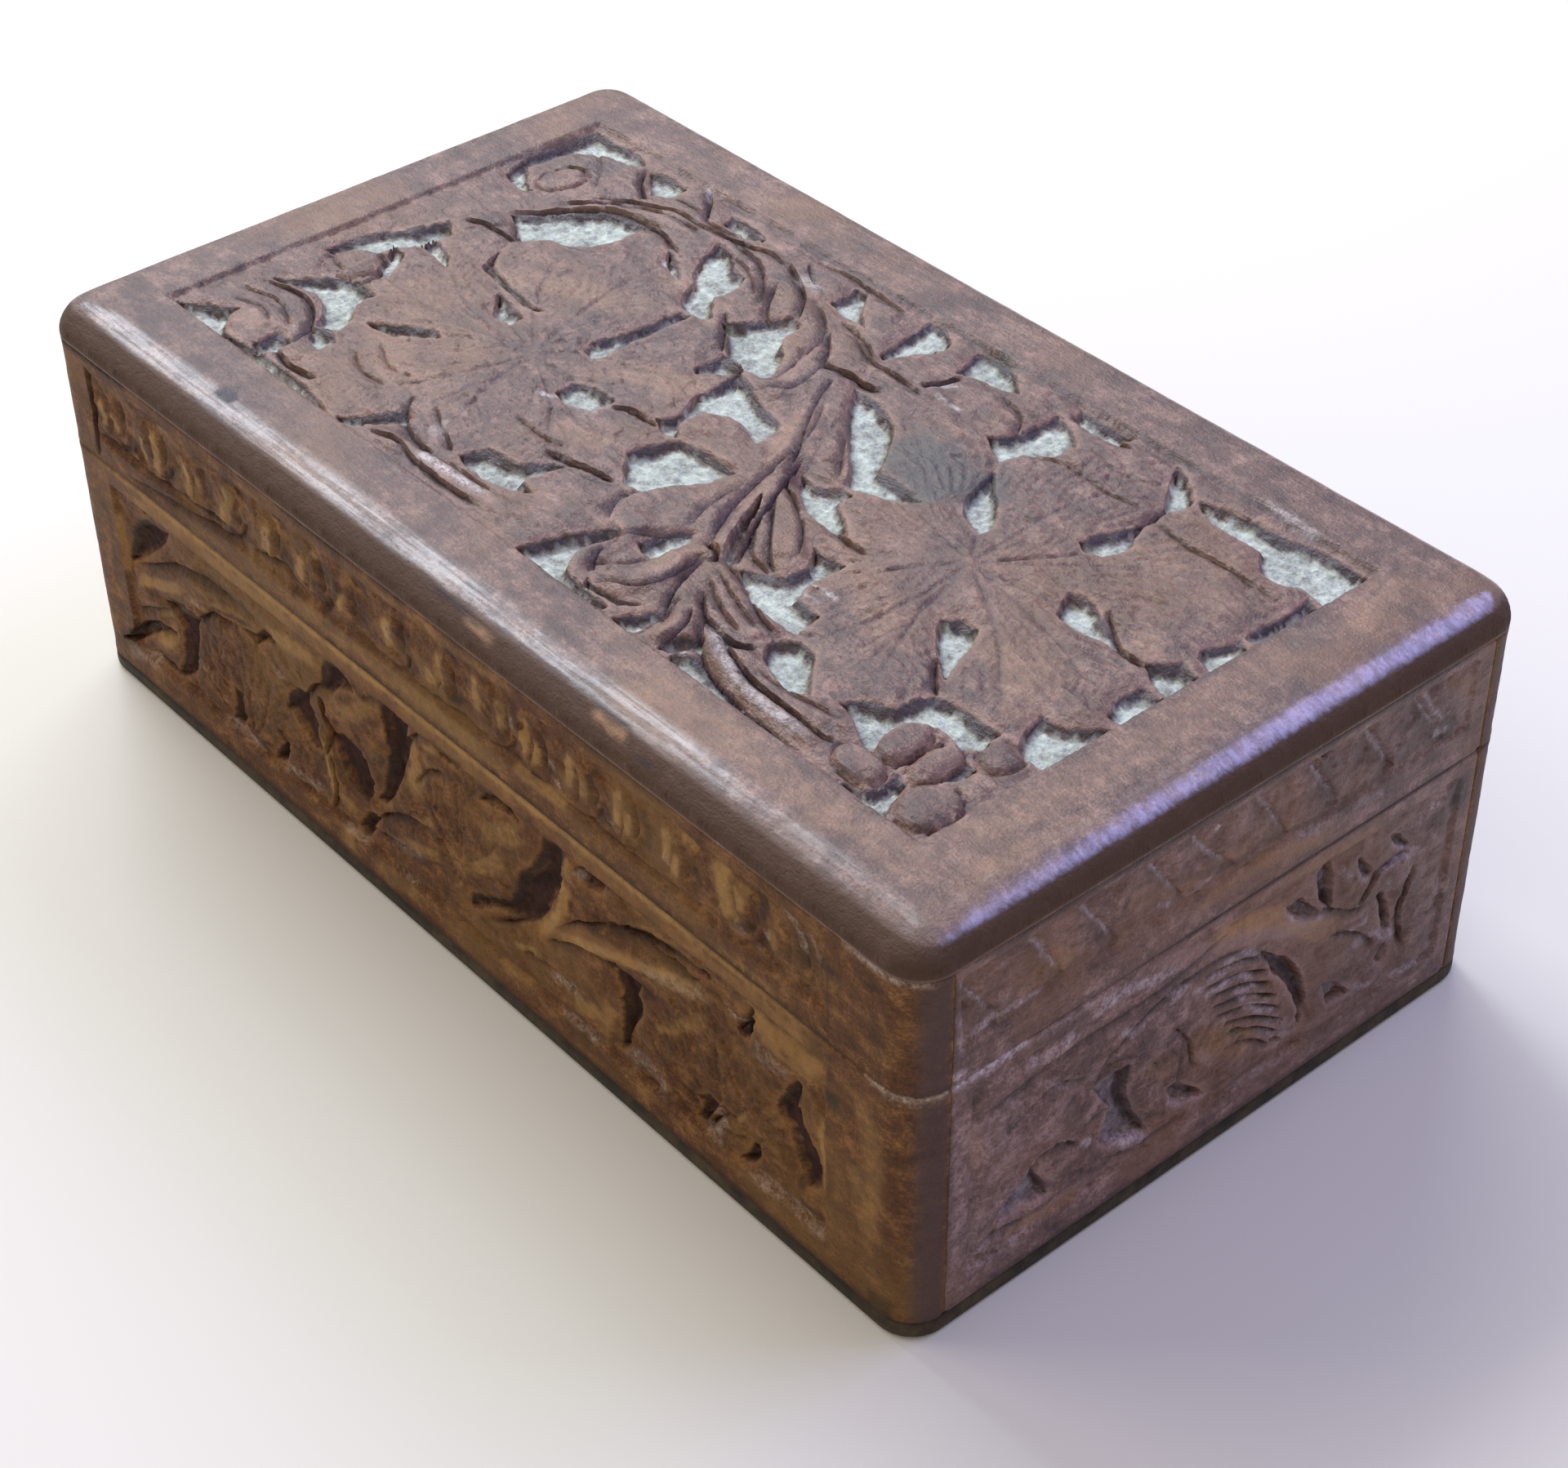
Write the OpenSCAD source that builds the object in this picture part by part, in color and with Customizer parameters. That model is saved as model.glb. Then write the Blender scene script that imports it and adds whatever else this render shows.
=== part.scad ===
// Hinged keepsake box of hardwood, carved in low relief with palmate leaves.
// Origin at the centre of the underside: +X to the right along the front, +Y to the hinged back, +Z up.

/* [Box] */
// Length of the box, left to right
box_l = 203; // [180:1:260]
// Width of the box, front to back
box_w = 114; // [104:1:150]
// Height of the closed box
box_h = 70; // [64:1:90]
// Height of the joint between base and lid
seam_h = 45.3; // [43:0.1:50]
// Radius of the four upright corners
corner_r = 6; // [5:0.1:6.4]

/* [Boards] */
// Thickness of the base walls and the lid rails
wall_t = 6.5; // [6.1:0.1:10]
// Thickness of the bottom board
bottom_t = 3; // [2.2:0.1:6]
// Rounding of the bottom board's edges
bottom_round = 1; // [0.4:0.1:1]
// Thickness of the lid's top board
top_t = 5; // [4.6:0.1:8]
// Rounding of the top board's upper edge
top_round = 4.5; // [2:0.1:4.8]

/* [Carving] */
// Depth of the ground carved into the lid's top
top_carve = 2.3; // [1.2:0.1:2.6]
// How far the leaves on the lid lie below its border
leaf_drop = 0.5; // [0.3:0.1:0.9]
// Depth of the ribs in a leaf on the lid
rib_depth = 0.4; // [0.2:0.1:0.6]
// Depth of the ground carved into the walls of the base
base_carve = 1.6; // [0.8:0.1:1.6]
// Depth of the ground carved into the lid's rails
rail_carve = 1.2; // [0.6:0.1:1.4]
// Plain border left of the carved panels of lid and front
border_left = 12.5; // [9:0.5:20]
// Plain border right of the carved panels of lid and front
border_right = 17; // [9:0.5:22]
// Plain border of the lid along the front
border_front = 16; // [9:0.5:22]
// Plain border of the lid along the back
border_back = 12.5; // [9:0.5:20]
// Plain border at both sides of the carved ends
border_end = 10; // [8:0.5:16]
// Plain strip of the base between the bottom board and the carving
foot_strip = 6.3; // [4:0.1:9]
// Plain strip of the base between the carving and the seam
seam_strip = 4.1; // [2:0.1:7]
// Plain strip of the lid between the seam and the carved band
band_low = 5.2; // [4:0.1:7]
// Plain strip of the lid between the carved band and the top board
band_high = 2.9; // [2:0.1:5]
// Distance between the leaves of the band
band_pitch = 10.7; // [8:0.1:14]

/* [Hinges] */
// Distance of each hinge from the middle of the back
hinge_offset = 55; // [30:1:75]
// Length of a hinge
hinge_l = 25; // [20:1:40]
// Width of a leaf across the edge of a board
leaf_w = 6; // [5:0.1:6.4]
// Thickness of a leaf
leaf_t = 1; // [0.8:0.1:1.4]
// Outer radius of the barrel
barrel_r = 1.75; // [1.5:0.05:2.2]
// Space between the barrel and the back of the box
barrel_gap = 0.2; // [0.1:0.05:0.5]
// Radius of the hinge pin
pin_r = 0.75; // [0.5:0.05:0.9]
// Radial clearance of the turning knuckle on the pin
pin_play = 0.05; // [0.02:0.01:0.1]
// Length of the middle knuckle, which turns with the lid
knuckle_l = 9; // [6:0.5:12]
// Side clearance between neighbouring knuckles
knuckle_gap = 0.2; // [0.1:0.05:0.5]

/* [Screws] */
// Distance between the two screws of a leaf
screw_pitch = 16; // [10:0.5:18]
// Radius of a screw's head
head_r = 1.6; // [1.2:0.1:2]
// Radius of a screw's shank
shank_r = 0.7; // [0.5:0.05:0.8]
// Length of a screw's shank below the leaf
shank_l = 5; // [3:0.5:7]

/* [Hidden] */
$fn = 64;
eps = 0.01;

end_l = box_w - 2 * wall_t;       // a short board fits between the two long ones
lid_h = box_h - top_t - seam_h;   // height of the lid rails
hinge_y = box_w / 2 + barrel_gap + barrel_r;

// The carved panels, each as [left, low, right, high] on its own face
lid_panel = [
    border_left - box_l / 2, border_front - box_w / 2,
    box_l / 2 - border_right, box_w / 2 - border_back
];
front_panel = [lid_panel[0], bottom_t + foot_strip, lid_panel[2], seam_h - seam_strip];
end_panel = [border_end - box_w / 2, bottom_t + foot_strip, box_w / 2 - border_end, seam_h - seam_strip];
front_band = [lid_panel[0], seam_h + band_low, lid_panel[2], box_h - top_t - band_high];
end_band = [end_panel[0], front_band[1], end_panel[2], front_band[3]];

// The carving is drawn on panels of these sizes and then fitted to the real ones
lid_drawn = [-89, -41, 84.5, 44.5];
front_drawn = [-89, 9.3, 84.5, 41.2];
end_drawn = [-47, 9.3, 47, 41.2];

// Ground that shows between the leaves of the lid, each piece as an outline
lid_ground = [
    [[-88.5, 44], [-77, 43.5], [-74, 42], [-83, 38.5], [-86, 33], [-86, 27], [-79, 23], [-88.5, 22.5]],
    [[-72, 41.5], [-67, 43.5], [-61, 42], [-62, 38], [-65, 35.5], [-69, 38]],
    [[-52, 42.5], [-46, 43], [-40, 41], [-44, 38.5], [-50, 38.5]],
    [[-76, 15], [-72, 21.5], [-66, 28], [-58, 31], [-56.5, 28], [-58, 18], [-65, 14], [-67.5, 10]],
    [[-80, 8], [-76, 4], [-77, -2], [-79, -7], [-87, -15], [-87, -8]],
    [[-58, -0.5], [-47, -1.5], [-47, -6], [-53, -6.5]],
    [[-86, -26], [-80, -19.5], [-76, -14.5], [-68, -15], [-63, -26], [-68, -29], [-72, -24.5]],
    [[-69, -28], [-61, -28], [-61, -32], [-66, -31.5]],
    [[-71, -32.5], [-66, -33], [-65, -37], [-67, -40.5], [-71, -39]],
    [[-88.5, -40.5], [-79.5, -33], [-78, -38], [-66, -38], [-55, -38.5], [-45, -40.5]],
    [[-46, -40.5], [-40, -31.5], [-35.5, -31.5], [-40, -40.5]],
    [[-25, -33], [-23, -27.5], [-16, -27], [-10.5, -21.5], [-11.5, -29.5], [-7, -31], [-19, -34.5]],
    [[-33.5, 18], [-30.5, 17.5], [-30.5, -3], [-35, -2.5], [-36, 2], [-34, 8]],
    [[-29, -8.5], [-26.5, -6.5], [-19, -6], [-19, -9.5], [-24.5, -13], [-29, -12.5]],
    [[-46.5, 36], [-41.5, 35], [-33, 32], [-32, 24], [-27.5, 18], [-33, 16.5], [-38, 20], [-43, 27]],
    [[-28, 19], [-24, 24.5], [-20.5, 30.5], [-16.5, 28], [-13, 20.5], [-9, 13], [-14.5, 12.5], [-20, 13.5]],
    [[-15, 14], [-10, 12], [1, 9], [3.5, 6], [3, 0.5], [-6, 3], [-8.5, 0], [-5, -7], [-13, -6], [-14, 3]],
    [[-9, -14], [-6.5, -6.5], [-3, -4], [7, -4], [6.5, -9], [3, -14], [-2, -21], [-5, -17.5]],
    [[-21, 42.5], [-18, 43.5], [-14.5, 38.5], [-9, 34], [-16, 34.5], [-21, 35.5]],
    [[-6.5, 44], [-1, 44], [2.5, 42], [2.5, 39], [-2.5, 29.5], [-4, 33]],
    [[4.5, 44], [14, 44], [21, 39], [15, 38], [7, 35.5]],
    [[27, 41], [39.5, 41], [40, 44], [26, 44]],
    [[25.5, 41], [30, 40], [35.5, 37], [30.5, 29.5], [30, 23.5], [22.5, 28.5], [26, 32.5]],
    [[-0.5, 23], [6, 23.5], [13, 20.5], [20, 11.5], [31.5, 10.5], [29, 6.5], [19, 3.5], [13, 10]],
    [[11.5, 1.5], [17, 2], [21, 5], [23, 4], [22, 0.5], [31, -4], [23, -5], [17, -2.5]],
    [[29.5, 25], [33.5, 21.5], [42, 13.5], [42, 9.5], [34, 13.5]],
    [[46.5, 44], [53.5, 41], [56.5, 38], [54, 33], [50.5, 38]],
    [[54.5, 32.5], [58, 23.5], [56.5, 18.5], [53, 17.5], [50.5, 19.5], [52.5, 25]],
    [[54.5, 39], [62, 42], [75, 44], [84, 44], [84, 33], [75.5, 32.5], [70, 37], [60, 36.5]],
    [[81, 34], [84, 32], [84, 20], [81, 20]],
    [[79.5, 12], [84, 11], [84, 2.5], [76, 6]],
    [[80.5, 3], [84, 1.5], [84, -6], [82, -6.5], [79, -1.5]],
    [[75, -11.5], [79.5, -10.5], [84, -6.5], [84, -19.5], [79, -20]],
    [[58.5, 10.5], [62.5, 11.5], [75, 6], [62.5, 4]],
    [[51, -7], [54, -4], [58, -4], [61, -12], [63.5, -18], [54.5, -11]],
    [[27, -9.5], [35, -8], [35, -15], [41, -19], [42.5, -25], [36, -25], [24, -20.5], [31, -16]],
    [[39.5, -27], [43.5, -23.5], [47, -25], [54.5, -31.5], [51, -34], [46, -33]],
    [[55.5, -29.5], [62, -25], [65, -17.5], [76, -17.5], [76.5, -23], [68, -24], [66.5, -34], [60, -31]],
    [[72, -33], [75, -33.5], [79, -40.5], [67, -40.5]],
    [[21, -40.5], [25, -33.5], [27, -35], [27, -40.5]],
    [[0, -40.5], [3.5, -30], [6, -25.5], [9, -28], [7.5, -33], [9, -37.5], [21, -40.5]],
    [[10, -27], [11.5, -21.5], [13.5, -18], [16, -22], [16, -29]],
];

// Stems and leaflets of the lid that stand up to the height of its border, as [from, to, left, right]
lid_stems = [
    [[-84, -10], [-62, 31], 8, -5.5],
    [[-62, 31.5], [-22, 30], 8, -5.5],
    [[-4, 28], [12, -2], 0.5, 2],
    [[11, 1], [22, -22], -1, 3],
    [[4, 20], [17, 5], 1.5, 2.5],
    [[13, -4], [29, -16], 2.5, 1.5],
    [[23, -23], [40, -29], 1.5, 2],
    [[31, -30], [64, -38], -5.5, 7.5],
    [[33, -30], [63, -31], -3.5, 5.5],
    [[-40, -39], [0, -33], -2, 4],
];

// Berries beside the stems, as [middle, radius]
lid_berries = [
    [[69.5, -28.5], 3.2],
    [[80, -35], 4.2],
    [[79.5, -22.5], 3],
    [[67, -36.5], 2.6],
];

// The two large leaves of the lid: where the ribs meet, and the tip of each rib
lid_leaves = [
    [[-38, -8], [[-61, 17], [-46, 26], [-25, 15], [-13, 0], [-16, -21], [-48, -36], [-65, -26], [-73, -8]]],
    [[46, 4], [[33, 27], [47, 36], [68, 33], [78, 14], [78, -4], [68, -18], [50, -24], [27, 4]]],
];

// Ground that shows between the leaves of the front
front_ground = [
    [[-88.5, 25.5], [-86, 33], [-81, 39], [-71, 40.5], [-76, 36], [-84, 29]],
    [[-78.5, 24.5], [-66.5, 26], [-70, 16], [-75.5, 9.5], [-78, 9.5], [-74, 20]],
    [[-44, 22], [-41.5, 28], [-37.5, 30], [-32, 23.5], [-32, 20], [-38.5, 20]],
    [[-32, 32], [-32, 38], [-29, 41], [-21, 39.5], [-26, 36]],
    [[-16, 38.5], [-14, 41], [-7.5, 41], [-8, 36], [-12, 25], [-20, 18.5], [-14.5, 31]],
    [[-31, 26], [-27, 28], [-21, 27], [-19, 22], [-21.5, 16], [-25, 17]],
    [[22.5, 41], [29.5, 41], [28.5, 35], [24.5, 26], [21, 21], [2, 11.5], [5, 17], [14, 21.5], [18, 30]],
    [[38.5, 27], [45.5, 26.5], [46, 21.5], [43.5, 17], [39.5, 9.5], [41, 21]],
    [[73, 24.5], [78, 34.5], [80, 33.5], [79, 28.5], [84, 20], [83, 14.5], [80.5, 13.5], [76, 22]],
];

// Long cuts of the gouge on the front, as [from, to, left, right]
front_cuts = [
    [[-88.5, 10], [-75, 18.5], 1.5, 0.3],
    [[-86, 29], [-44, 36], 5, -4],
    [[-60, 31.5], [-44, 35], -0.3, 1.2],
    [[-60, 10], [-58, 18], 0.3, 1.6],
    [[-49, 9.5], [-44, 15], 0.3, 1],
    [[-25, 10], [-18, 16.5], 1, 0.4],
    [[28, 26], [62, 38.5], 5, -4],
    [[8, 36], [20, 39.5], 2, -0.5],
    [[57, 9.5], [62, 16], 0.3, 1.4],
    [[66, 9.5], [71, 15], 0.3, 1],
    [[65, 33.5], [70, 39], 0.6, 0.6],
];

// Ground that shows between the leaves of an end
end_ground = [
    [[-25, 27.5], [-17, 29], [-17, 22], [-11, 10.5], [-22, 13.5], [-21.5, 21]],
    [[-37, 19], [-33.5, 22], [-31, 11.5], [-43, 13]],
    [[18, 41], [21, 41], [23, 33], [22, 30.5], [18.5, 35.5]],
    [[11, 37.5], [16, 39], [21.5, 31]],
];

// Long cuts of the gouge on an end
end_cuts = [
    [[9, 31.5], [17.5, 10.5], 2.6, -1.2],
    [[-26, 25], [9, 32], 7, -6.3],
    [[33, 29], [37, 18.5], 0.4, 0.8],
    [[-9.5, 18], [0, 10.5], 0.8, 0.4],
    [[22, 18], [30, 11.5], 0.5, 0.8],
    [[33.5, 39.5], [39.5, 33.5], 0.5, 0.5],
    [[26.5, 39], [31.5, 32.5], 0.5, 0.5],
];

walnut = [0.36, 0.24, 0.18];
walnut_dark = [0.25, 0.16, 0.12];
brass = [0.72, 0.58, 0.32];

// A flat board as large as the box, with round corners and rounded upper and lower edges.
module slab(thick, round_top, round_bottom) {
    translate([0, 0, thick / 2]) {
        rotate([90, 0, 90])
            linear_extrude(box_l - 2 * corner_r, center = true)
                slab_section(box_w, thick, round_top, round_bottom);
        rotate([90, 0, 0])
            linear_extrude(box_w - 2 * corner_r, center = true)
                slab_section(box_l, thick, round_top, round_bottom);
        for (x = [-1, 1], y = [-1, 1])
            translate([x * (box_l / 2 - corner_r), y * (box_w / 2 - corner_r), 0])
                rotate_extrude()
                    intersection() {
                        slab_section(2 * corner_r, thick, round_top, round_bottom);
                        translate([0, -thick]) square([2 * corner_r, 2 * thick]);
                    }
    }
}

// Section through a board: a rectangle about the origin with its upper and lower corners rounded.
module slab_section(wide, thick, round_top, round_bottom) {
    difference() {
        square([wide, thick], center = true);
        for (side = [0, 1])
            mirror([side, 0]) {
                translate([wide / 2, thick / 2]) corner_waste(round_top);
                mirror([0, 1]) translate([wide / 2, thick / 2]) corner_waste(round_bottom);
            }
    }
}

// What rounding takes off a corner that points up and to the right.
module corner_waste(radius) {
    if (radius > 0)
        translate([-radius, -radius])
            difference() {
                square(radius + eps);
                circle(radius);
            }
}

// A long board standing at the front, with the box's round corners on its outer edges.
module long_board(height) {
    linear_extrude(height)
        difference() {
            translate([-box_l / 2, -box_w / 2]) square([box_l, wall_t]);
            for (side = [0, 1])
                mirror([side, 0]) translate([box_l / 2, -box_w / 2]) mirror([0, 1]) corner_waste(corner_r);
        }
}

// A short board standing at the right-hand end.
module short_board(height) {
    translate([box_l / 2 - wall_t, -end_l / 2, 0]) cube([wall_t, end_l, height]);
}

// Fits drawn points to the real panel.
function fit(points, drawn, real) = [
    for (p = points) [
        real[0] + (p[0] - drawn[0]) * (real[2] - real[0]) / (drawn[2] - drawn[0]),
        real[1] + (p[1] - drawn[1]) * (real[3] - real[1]) / (drawn[3] - drawn[1])
    ]
];

// An outline with its corners cut off, as a gouge leaves it.
function soften(points) = [
    for (i = [0 : len(points) - 1])
        let (a = points[i], b = points[(i + 1) % len(points)])
            each [a + 0.25 * (b - a), b + 0.25 * (a - b)]
];

// Points of a bow from one point to another that swings out to the left.
function bow(from, to, swing) =
    let (left = [from[1] - to[1], to[0] - from[0]] / norm(to - from), steps = 8)
        [
            for (i = [0 : steps - 1])
                let (t = i / steps)
                    from + t * (to - from) + 4 * t * (1 - t) * swing * left
        ];

// A leaf or a sickle between two bows; a minus bends that side the other way.
function blade(cut) = concat(bow(cut[0], cut[1], cut[2]), bow(cut[1], cut[0], cut[3]));

// Outline of the carved panel.
module panel(area) {
    translate([area[0], area[1]]) square([area[2] - area[0], area[3] - area[1]]);
}

// Everything that is carved out of the lid's top.
module lid_carving() {
    translate([0, 0, box_h - leaf_drop])
        linear_extrude(leaf_drop + eps)
            difference() {
                panel(lid_panel);
                for (stem = lid_stems) polygon(fit(blade(stem), lid_drawn, lid_panel));
                for (berry = lid_berries)
                    translate(fit([berry[0]], lid_drawn, lid_panel)[0]) circle(berry[1]);
            }
    translate([0, 0, box_h - leaf_drop - rib_depth])
        linear_extrude(rib_depth + leaf_drop + eps)
            for (leaf = lid_leaves) {
                translate(fit([leaf[0]], lid_drawn, lid_panel)[0]) circle(1);
                for (tip = leaf[1]) polygon(fit(blade([leaf[0], tip, 0.3, 0.3]), lid_drawn, lid_panel));
            }
    for (outline = lid_ground)
        translate([0, 0, box_h - top_carve])
            linear_extrude(top_carve + eps) polygon(soften(fit(outline, lid_drawn, lid_panel)));
}

// Outlines carved into a wall.
module wall_outlines(ground, cuts, drawn, real) {
    for (outline = ground) polygon(soften(fit(outline, drawn, real)));
    for (cut = cuts) polygon(fit(blade(cut), drawn, real));
}

// The band of upright leaves along a long rail: the ground behind the right side of each.
module leaf_band(area) {
    high = area[3] - area[1];
    count = floor((area[2] - area[0]) / band_pitch);
    for (i = [0 : count - 1])
        translate([area[0] + (i + 0.5) * (area[2] - area[0]) / count, area[1]])
            polygon(blade([
                [band_pitch * 0.2, 0], [band_pitch * 0.35, high],
                -band_pitch * 0.22, band_pitch * 0.42
            ]));
}

// The band of slanting leaf edges along a short rail.
module edge_band(area) {
    high = area[3] - area[1];
    count = floor((area[2] - area[0]) / band_pitch);
    for (i = [0 : count - 1])
        translate([area[0] + (i + 0.5) * (area[2] - area[0]) / count, area[1]])
            polygon(blade([[band_pitch * 0.3, 0], [-band_pitch * 0.25, high], 0.4, 1.1]));
}

// Cuts its children, outlines seen from the front, into the front face.
module into_front(deep) {
    translate([0, deep - box_w / 2, 0]) rotate([90, 0, 0]) linear_extrude(deep + eps) children();
}

// Cuts its children, outlines seen from the right, into the right-hand face.
module into_right(deep) {
    translate([box_l / 2 - deep, 0, 0]) rotate([90, 0, 90]) linear_extrude(deep + eps) children();
}

// Places its children at both screws of a leaf, relative to the hinge's centre at the seam.
module at_screws() {
    for (side = [-1, 1])
        translate([side * screw_pitch / 2, box_w / 2 - leaf_w / 2, 0]) children();
}

// One screw, driven down from the origin, with a countersunk head as deep as the leaf.
module screw() {
    translate([0, 0, -leaf_t]) cylinder(h = leaf_t, r1 = shank_r, r2 = head_r);
    translate([0, 0, -leaf_t - shank_l]) cylinder(h = shank_l + eps, r = shank_r);
}

// The mortise that a leaf lies in and the pilot holes of its screws, cut down from the seam.
module hinge_seat() {
    translate([-hinge_l / 2, box_w / 2 - leaf_w, -leaf_t]) cube([hinge_l, leaf_w + eps, leaf_t + eps]);
    at_screws() translate([0, 0, -leaf_t - shank_l]) cylinder(h = shank_l + leaf_t, r = shank_r);
}

// A leaf whose knuckles fill the given spans of the barrel; the plate lies below the seam.
module leaf(spans, bore_r) {
    difference() {
        union() {
            translate([-hinge_l / 2, box_w / 2 - leaf_w, -leaf_t]) cube([hinge_l, leaf_w, leaf_t]);
            for (span = spans) {
                translate([span[0], box_w / 2 - eps, -leaf_t])
                    cube([span[1] - span[0], hinge_y - box_w / 2 + eps, leaf_t]);
                translate([span[0], hinge_y, 0])
                    rotate([0, 90, 0]) cylinder(h = span[1] - span[0], r = barrel_r);
            }
        }
        translate([-hinge_l, hinge_y, 0]) rotate([0, 90, 0]) cylinder(h = 2 * hinge_l, r = bore_r);
        at_screws() screw();
    }
}

// Places its children at a hinge on the seam: side -1 is the left hinge, 1 the right one.
module at_hinge(side) {
    translate([side * hinge_offset, 0, seam_h]) children();
}

// Turns what hangs below the seam into what stands above it.
module above_seam() {
    mirror([0, 0, 1]) children();
}

module base_leaf(side) {
    outer = [[-hinge_l / 2, -knuckle_l / 2 - knuckle_gap], [knuckle_l / 2 + knuckle_gap, hinge_l / 2]];
    color(brass) at_hinge(side) leaf(outer, pin_r);
}

module lid_leaf(side) {
    color(brass) at_hinge(side) above_seam() leaf([[-knuckle_l / 2, knuckle_l / 2]], pin_r + pin_play);
}

module hinge_pin(side) {
    color(brass)
        at_hinge(side)
            translate([-hinge_l / 2, hinge_y, 0]) rotate([0, 90, 0]) cylinder(h = hinge_l, r = pin_r);
}

module base_screws(side) {
    color(brass) at_hinge(side) at_screws() screw();
}

module lid_screws(side) {
    color(brass) at_hinge(side) above_seam() at_screws() screw();
}

module bottom_board() {
    color(walnut_dark) slab(bottom_t, bottom_round, bottom_round);
}

// A front board of the base, carved.
module base_long_board() {
    difference() {
        translate([0, 0, bottom_t]) long_board(seam_h - bottom_t);
        into_front(base_carve) wall_outlines(front_ground, front_cuts, front_drawn, front_panel);
    }
}

// A right-hand board of the base, carved.
module base_short_board() {
    difference() {
        translate([0, 0, bottom_t]) short_board(seam_h - bottom_t);
        into_right(base_carve) wall_outlines(end_ground, end_cuts, end_drawn, end_panel);
    }
}

// A front rail of the lid, carved.
module lid_long_rail() {
    difference() {
        translate([0, 0, seam_h]) long_board(lid_h);
        into_front(rail_carve) leaf_band(front_band);
    }
}

// A right-hand rail of the lid, carved.
module lid_short_rail() {
    difference() {
        translate([0, 0, seam_h]) short_board(lid_h);
        into_right(rail_carve) edge_band(end_band);
    }
}

module base_front_board() {
    color(walnut) base_long_board();
}

module base_back_board() {
    color(walnut)
        difference() {
            rotate([0, 0, 180]) base_long_board();
            for (side = [-1, 1]) at_hinge(side) hinge_seat();
        }
}

module base_right_board() {
    color(walnut) base_short_board();
}

module base_left_board() {
    color(walnut) rotate([0, 0, 180]) base_short_board();
}

module lid_top_board() {
    color(walnut)
        difference() {
            translate([0, 0, box_h - top_t]) slab(top_t, top_round, 0);
            lid_carving();
        }
}

module lid_front_rail() {
    color(walnut) lid_long_rail();
}

module lid_back_rail() {
    color(walnut)
        difference() {
            rotate([0, 0, 180]) lid_long_rail();
            for (side = [-1, 1]) at_hinge(side) above_seam() hinge_seat();
        }
}

module lid_right_rail() {
    color(walnut) lid_short_rail();
}

module lid_left_rail() {
    color(walnut) rotate([0, 0, 180]) lid_short_rail();
}

bottom_board();
base_front_board();
base_back_board();
base_left_board();
base_right_board();
lid_top_board();
lid_front_rail();
lid_back_rail();
lid_left_rail();
lid_right_rail();
base_leaf(-1);  // hinge_left_base_leaf
lid_leaf(-1);  // hinge_left_lid_leaf
hinge_pin(-1);  // hinge_left_pin
base_leaf(1);  // hinge_right_base_leaf
lid_leaf(1);  // hinge_right_lid_leaf
hinge_pin(1);  // hinge_right_pin
base_screws(-1);  // hinge_left_base_screws
lid_screws(-1);  // hinge_left_lid_screws
base_screws(1);  // hinge_right_base_screws
lid_screws(1);  // hinge_right_lid_screws
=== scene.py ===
import math

import bpy
import numpy as np
from mathutils import Matrix, Vector
from mathutils.geometry import delaunay_2d_cdt


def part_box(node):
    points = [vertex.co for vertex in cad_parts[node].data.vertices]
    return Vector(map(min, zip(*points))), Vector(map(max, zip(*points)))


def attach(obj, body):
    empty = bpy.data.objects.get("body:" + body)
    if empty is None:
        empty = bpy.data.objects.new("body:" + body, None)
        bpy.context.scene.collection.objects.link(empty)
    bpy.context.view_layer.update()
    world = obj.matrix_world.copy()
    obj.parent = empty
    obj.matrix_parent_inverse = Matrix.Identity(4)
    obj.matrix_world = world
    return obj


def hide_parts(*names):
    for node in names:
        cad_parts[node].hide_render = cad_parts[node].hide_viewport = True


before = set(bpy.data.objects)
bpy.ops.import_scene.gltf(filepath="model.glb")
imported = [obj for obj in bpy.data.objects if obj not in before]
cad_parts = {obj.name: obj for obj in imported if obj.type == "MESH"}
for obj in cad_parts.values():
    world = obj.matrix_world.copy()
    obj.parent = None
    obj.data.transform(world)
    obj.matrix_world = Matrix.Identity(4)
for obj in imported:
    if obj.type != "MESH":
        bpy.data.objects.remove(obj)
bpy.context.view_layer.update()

mm = 0.001
up = Vector((0, 0, 1))

photoView = {
    "width": 1920, "height": 1798, "focal": 3824.6,       # pixels
    "eye": (297.5, -243.0, 322.7), "target": (10.45, -0.18, 20.0),  # millimetres
    "roll": -0.0118, "sensor": 36.0,
}


def boxOf(node):
    low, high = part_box(node)
    return np.array(low) / mm, np.array(high) / mm


topLow, topHigh = boxOf("lid_top_board")
frontLow, frontHigh = boxOf("base_front_board")
railLow, railHigh = boxOf("lid_front_rail")
size = {
    "length": topHigh[0] - topLow[0], "width": topHigh[1] - topLow[1], "wall": frontHigh[1] - frontLow[1],
    "corner": 6.0,
}
wornRim = {
    "drop": 4.5, "reach": 9.0, "rightNarrower": 1.5, "farReach": 3.2,
    "sideBlend": 14, "cornerBlend": 8, "frontGloss": 0.38,
}


# Smooth value noise between -1 and 1 on cells of the given size.
def grain(x, y, cell, seed):
    gx, gy = x / cell, y / cell
    ix, iy = np.floor(gx).astype(np.int64), np.floor(gy).astype(np.int64)
    fx, fy = gx - ix, gy - iy
    fx, fy = fx * fx * (3 - 2 * fx), fy * fy * (3 - 2 * fy)

    def corner(dx, dy):
        n = ((ix + dx) * 374761393 + (iy + dy) * 668265263 + seed * 974711) & 0xFFFFFFFF
        n = ((n ^ (n >> 13)) * 1274126177) & 0xFFFFFFFF
        return ((n ^ (n >> 16)) & 0xFFFF) / 32767.5 - 1

    low = corner(0, 0) * (1 - fx) + corner(1, 0) * fx
    high = corner(0, 1) * (1 - fx) + corner(1, 1) * fx
    return low * (1 - fy) + high * fy


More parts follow.
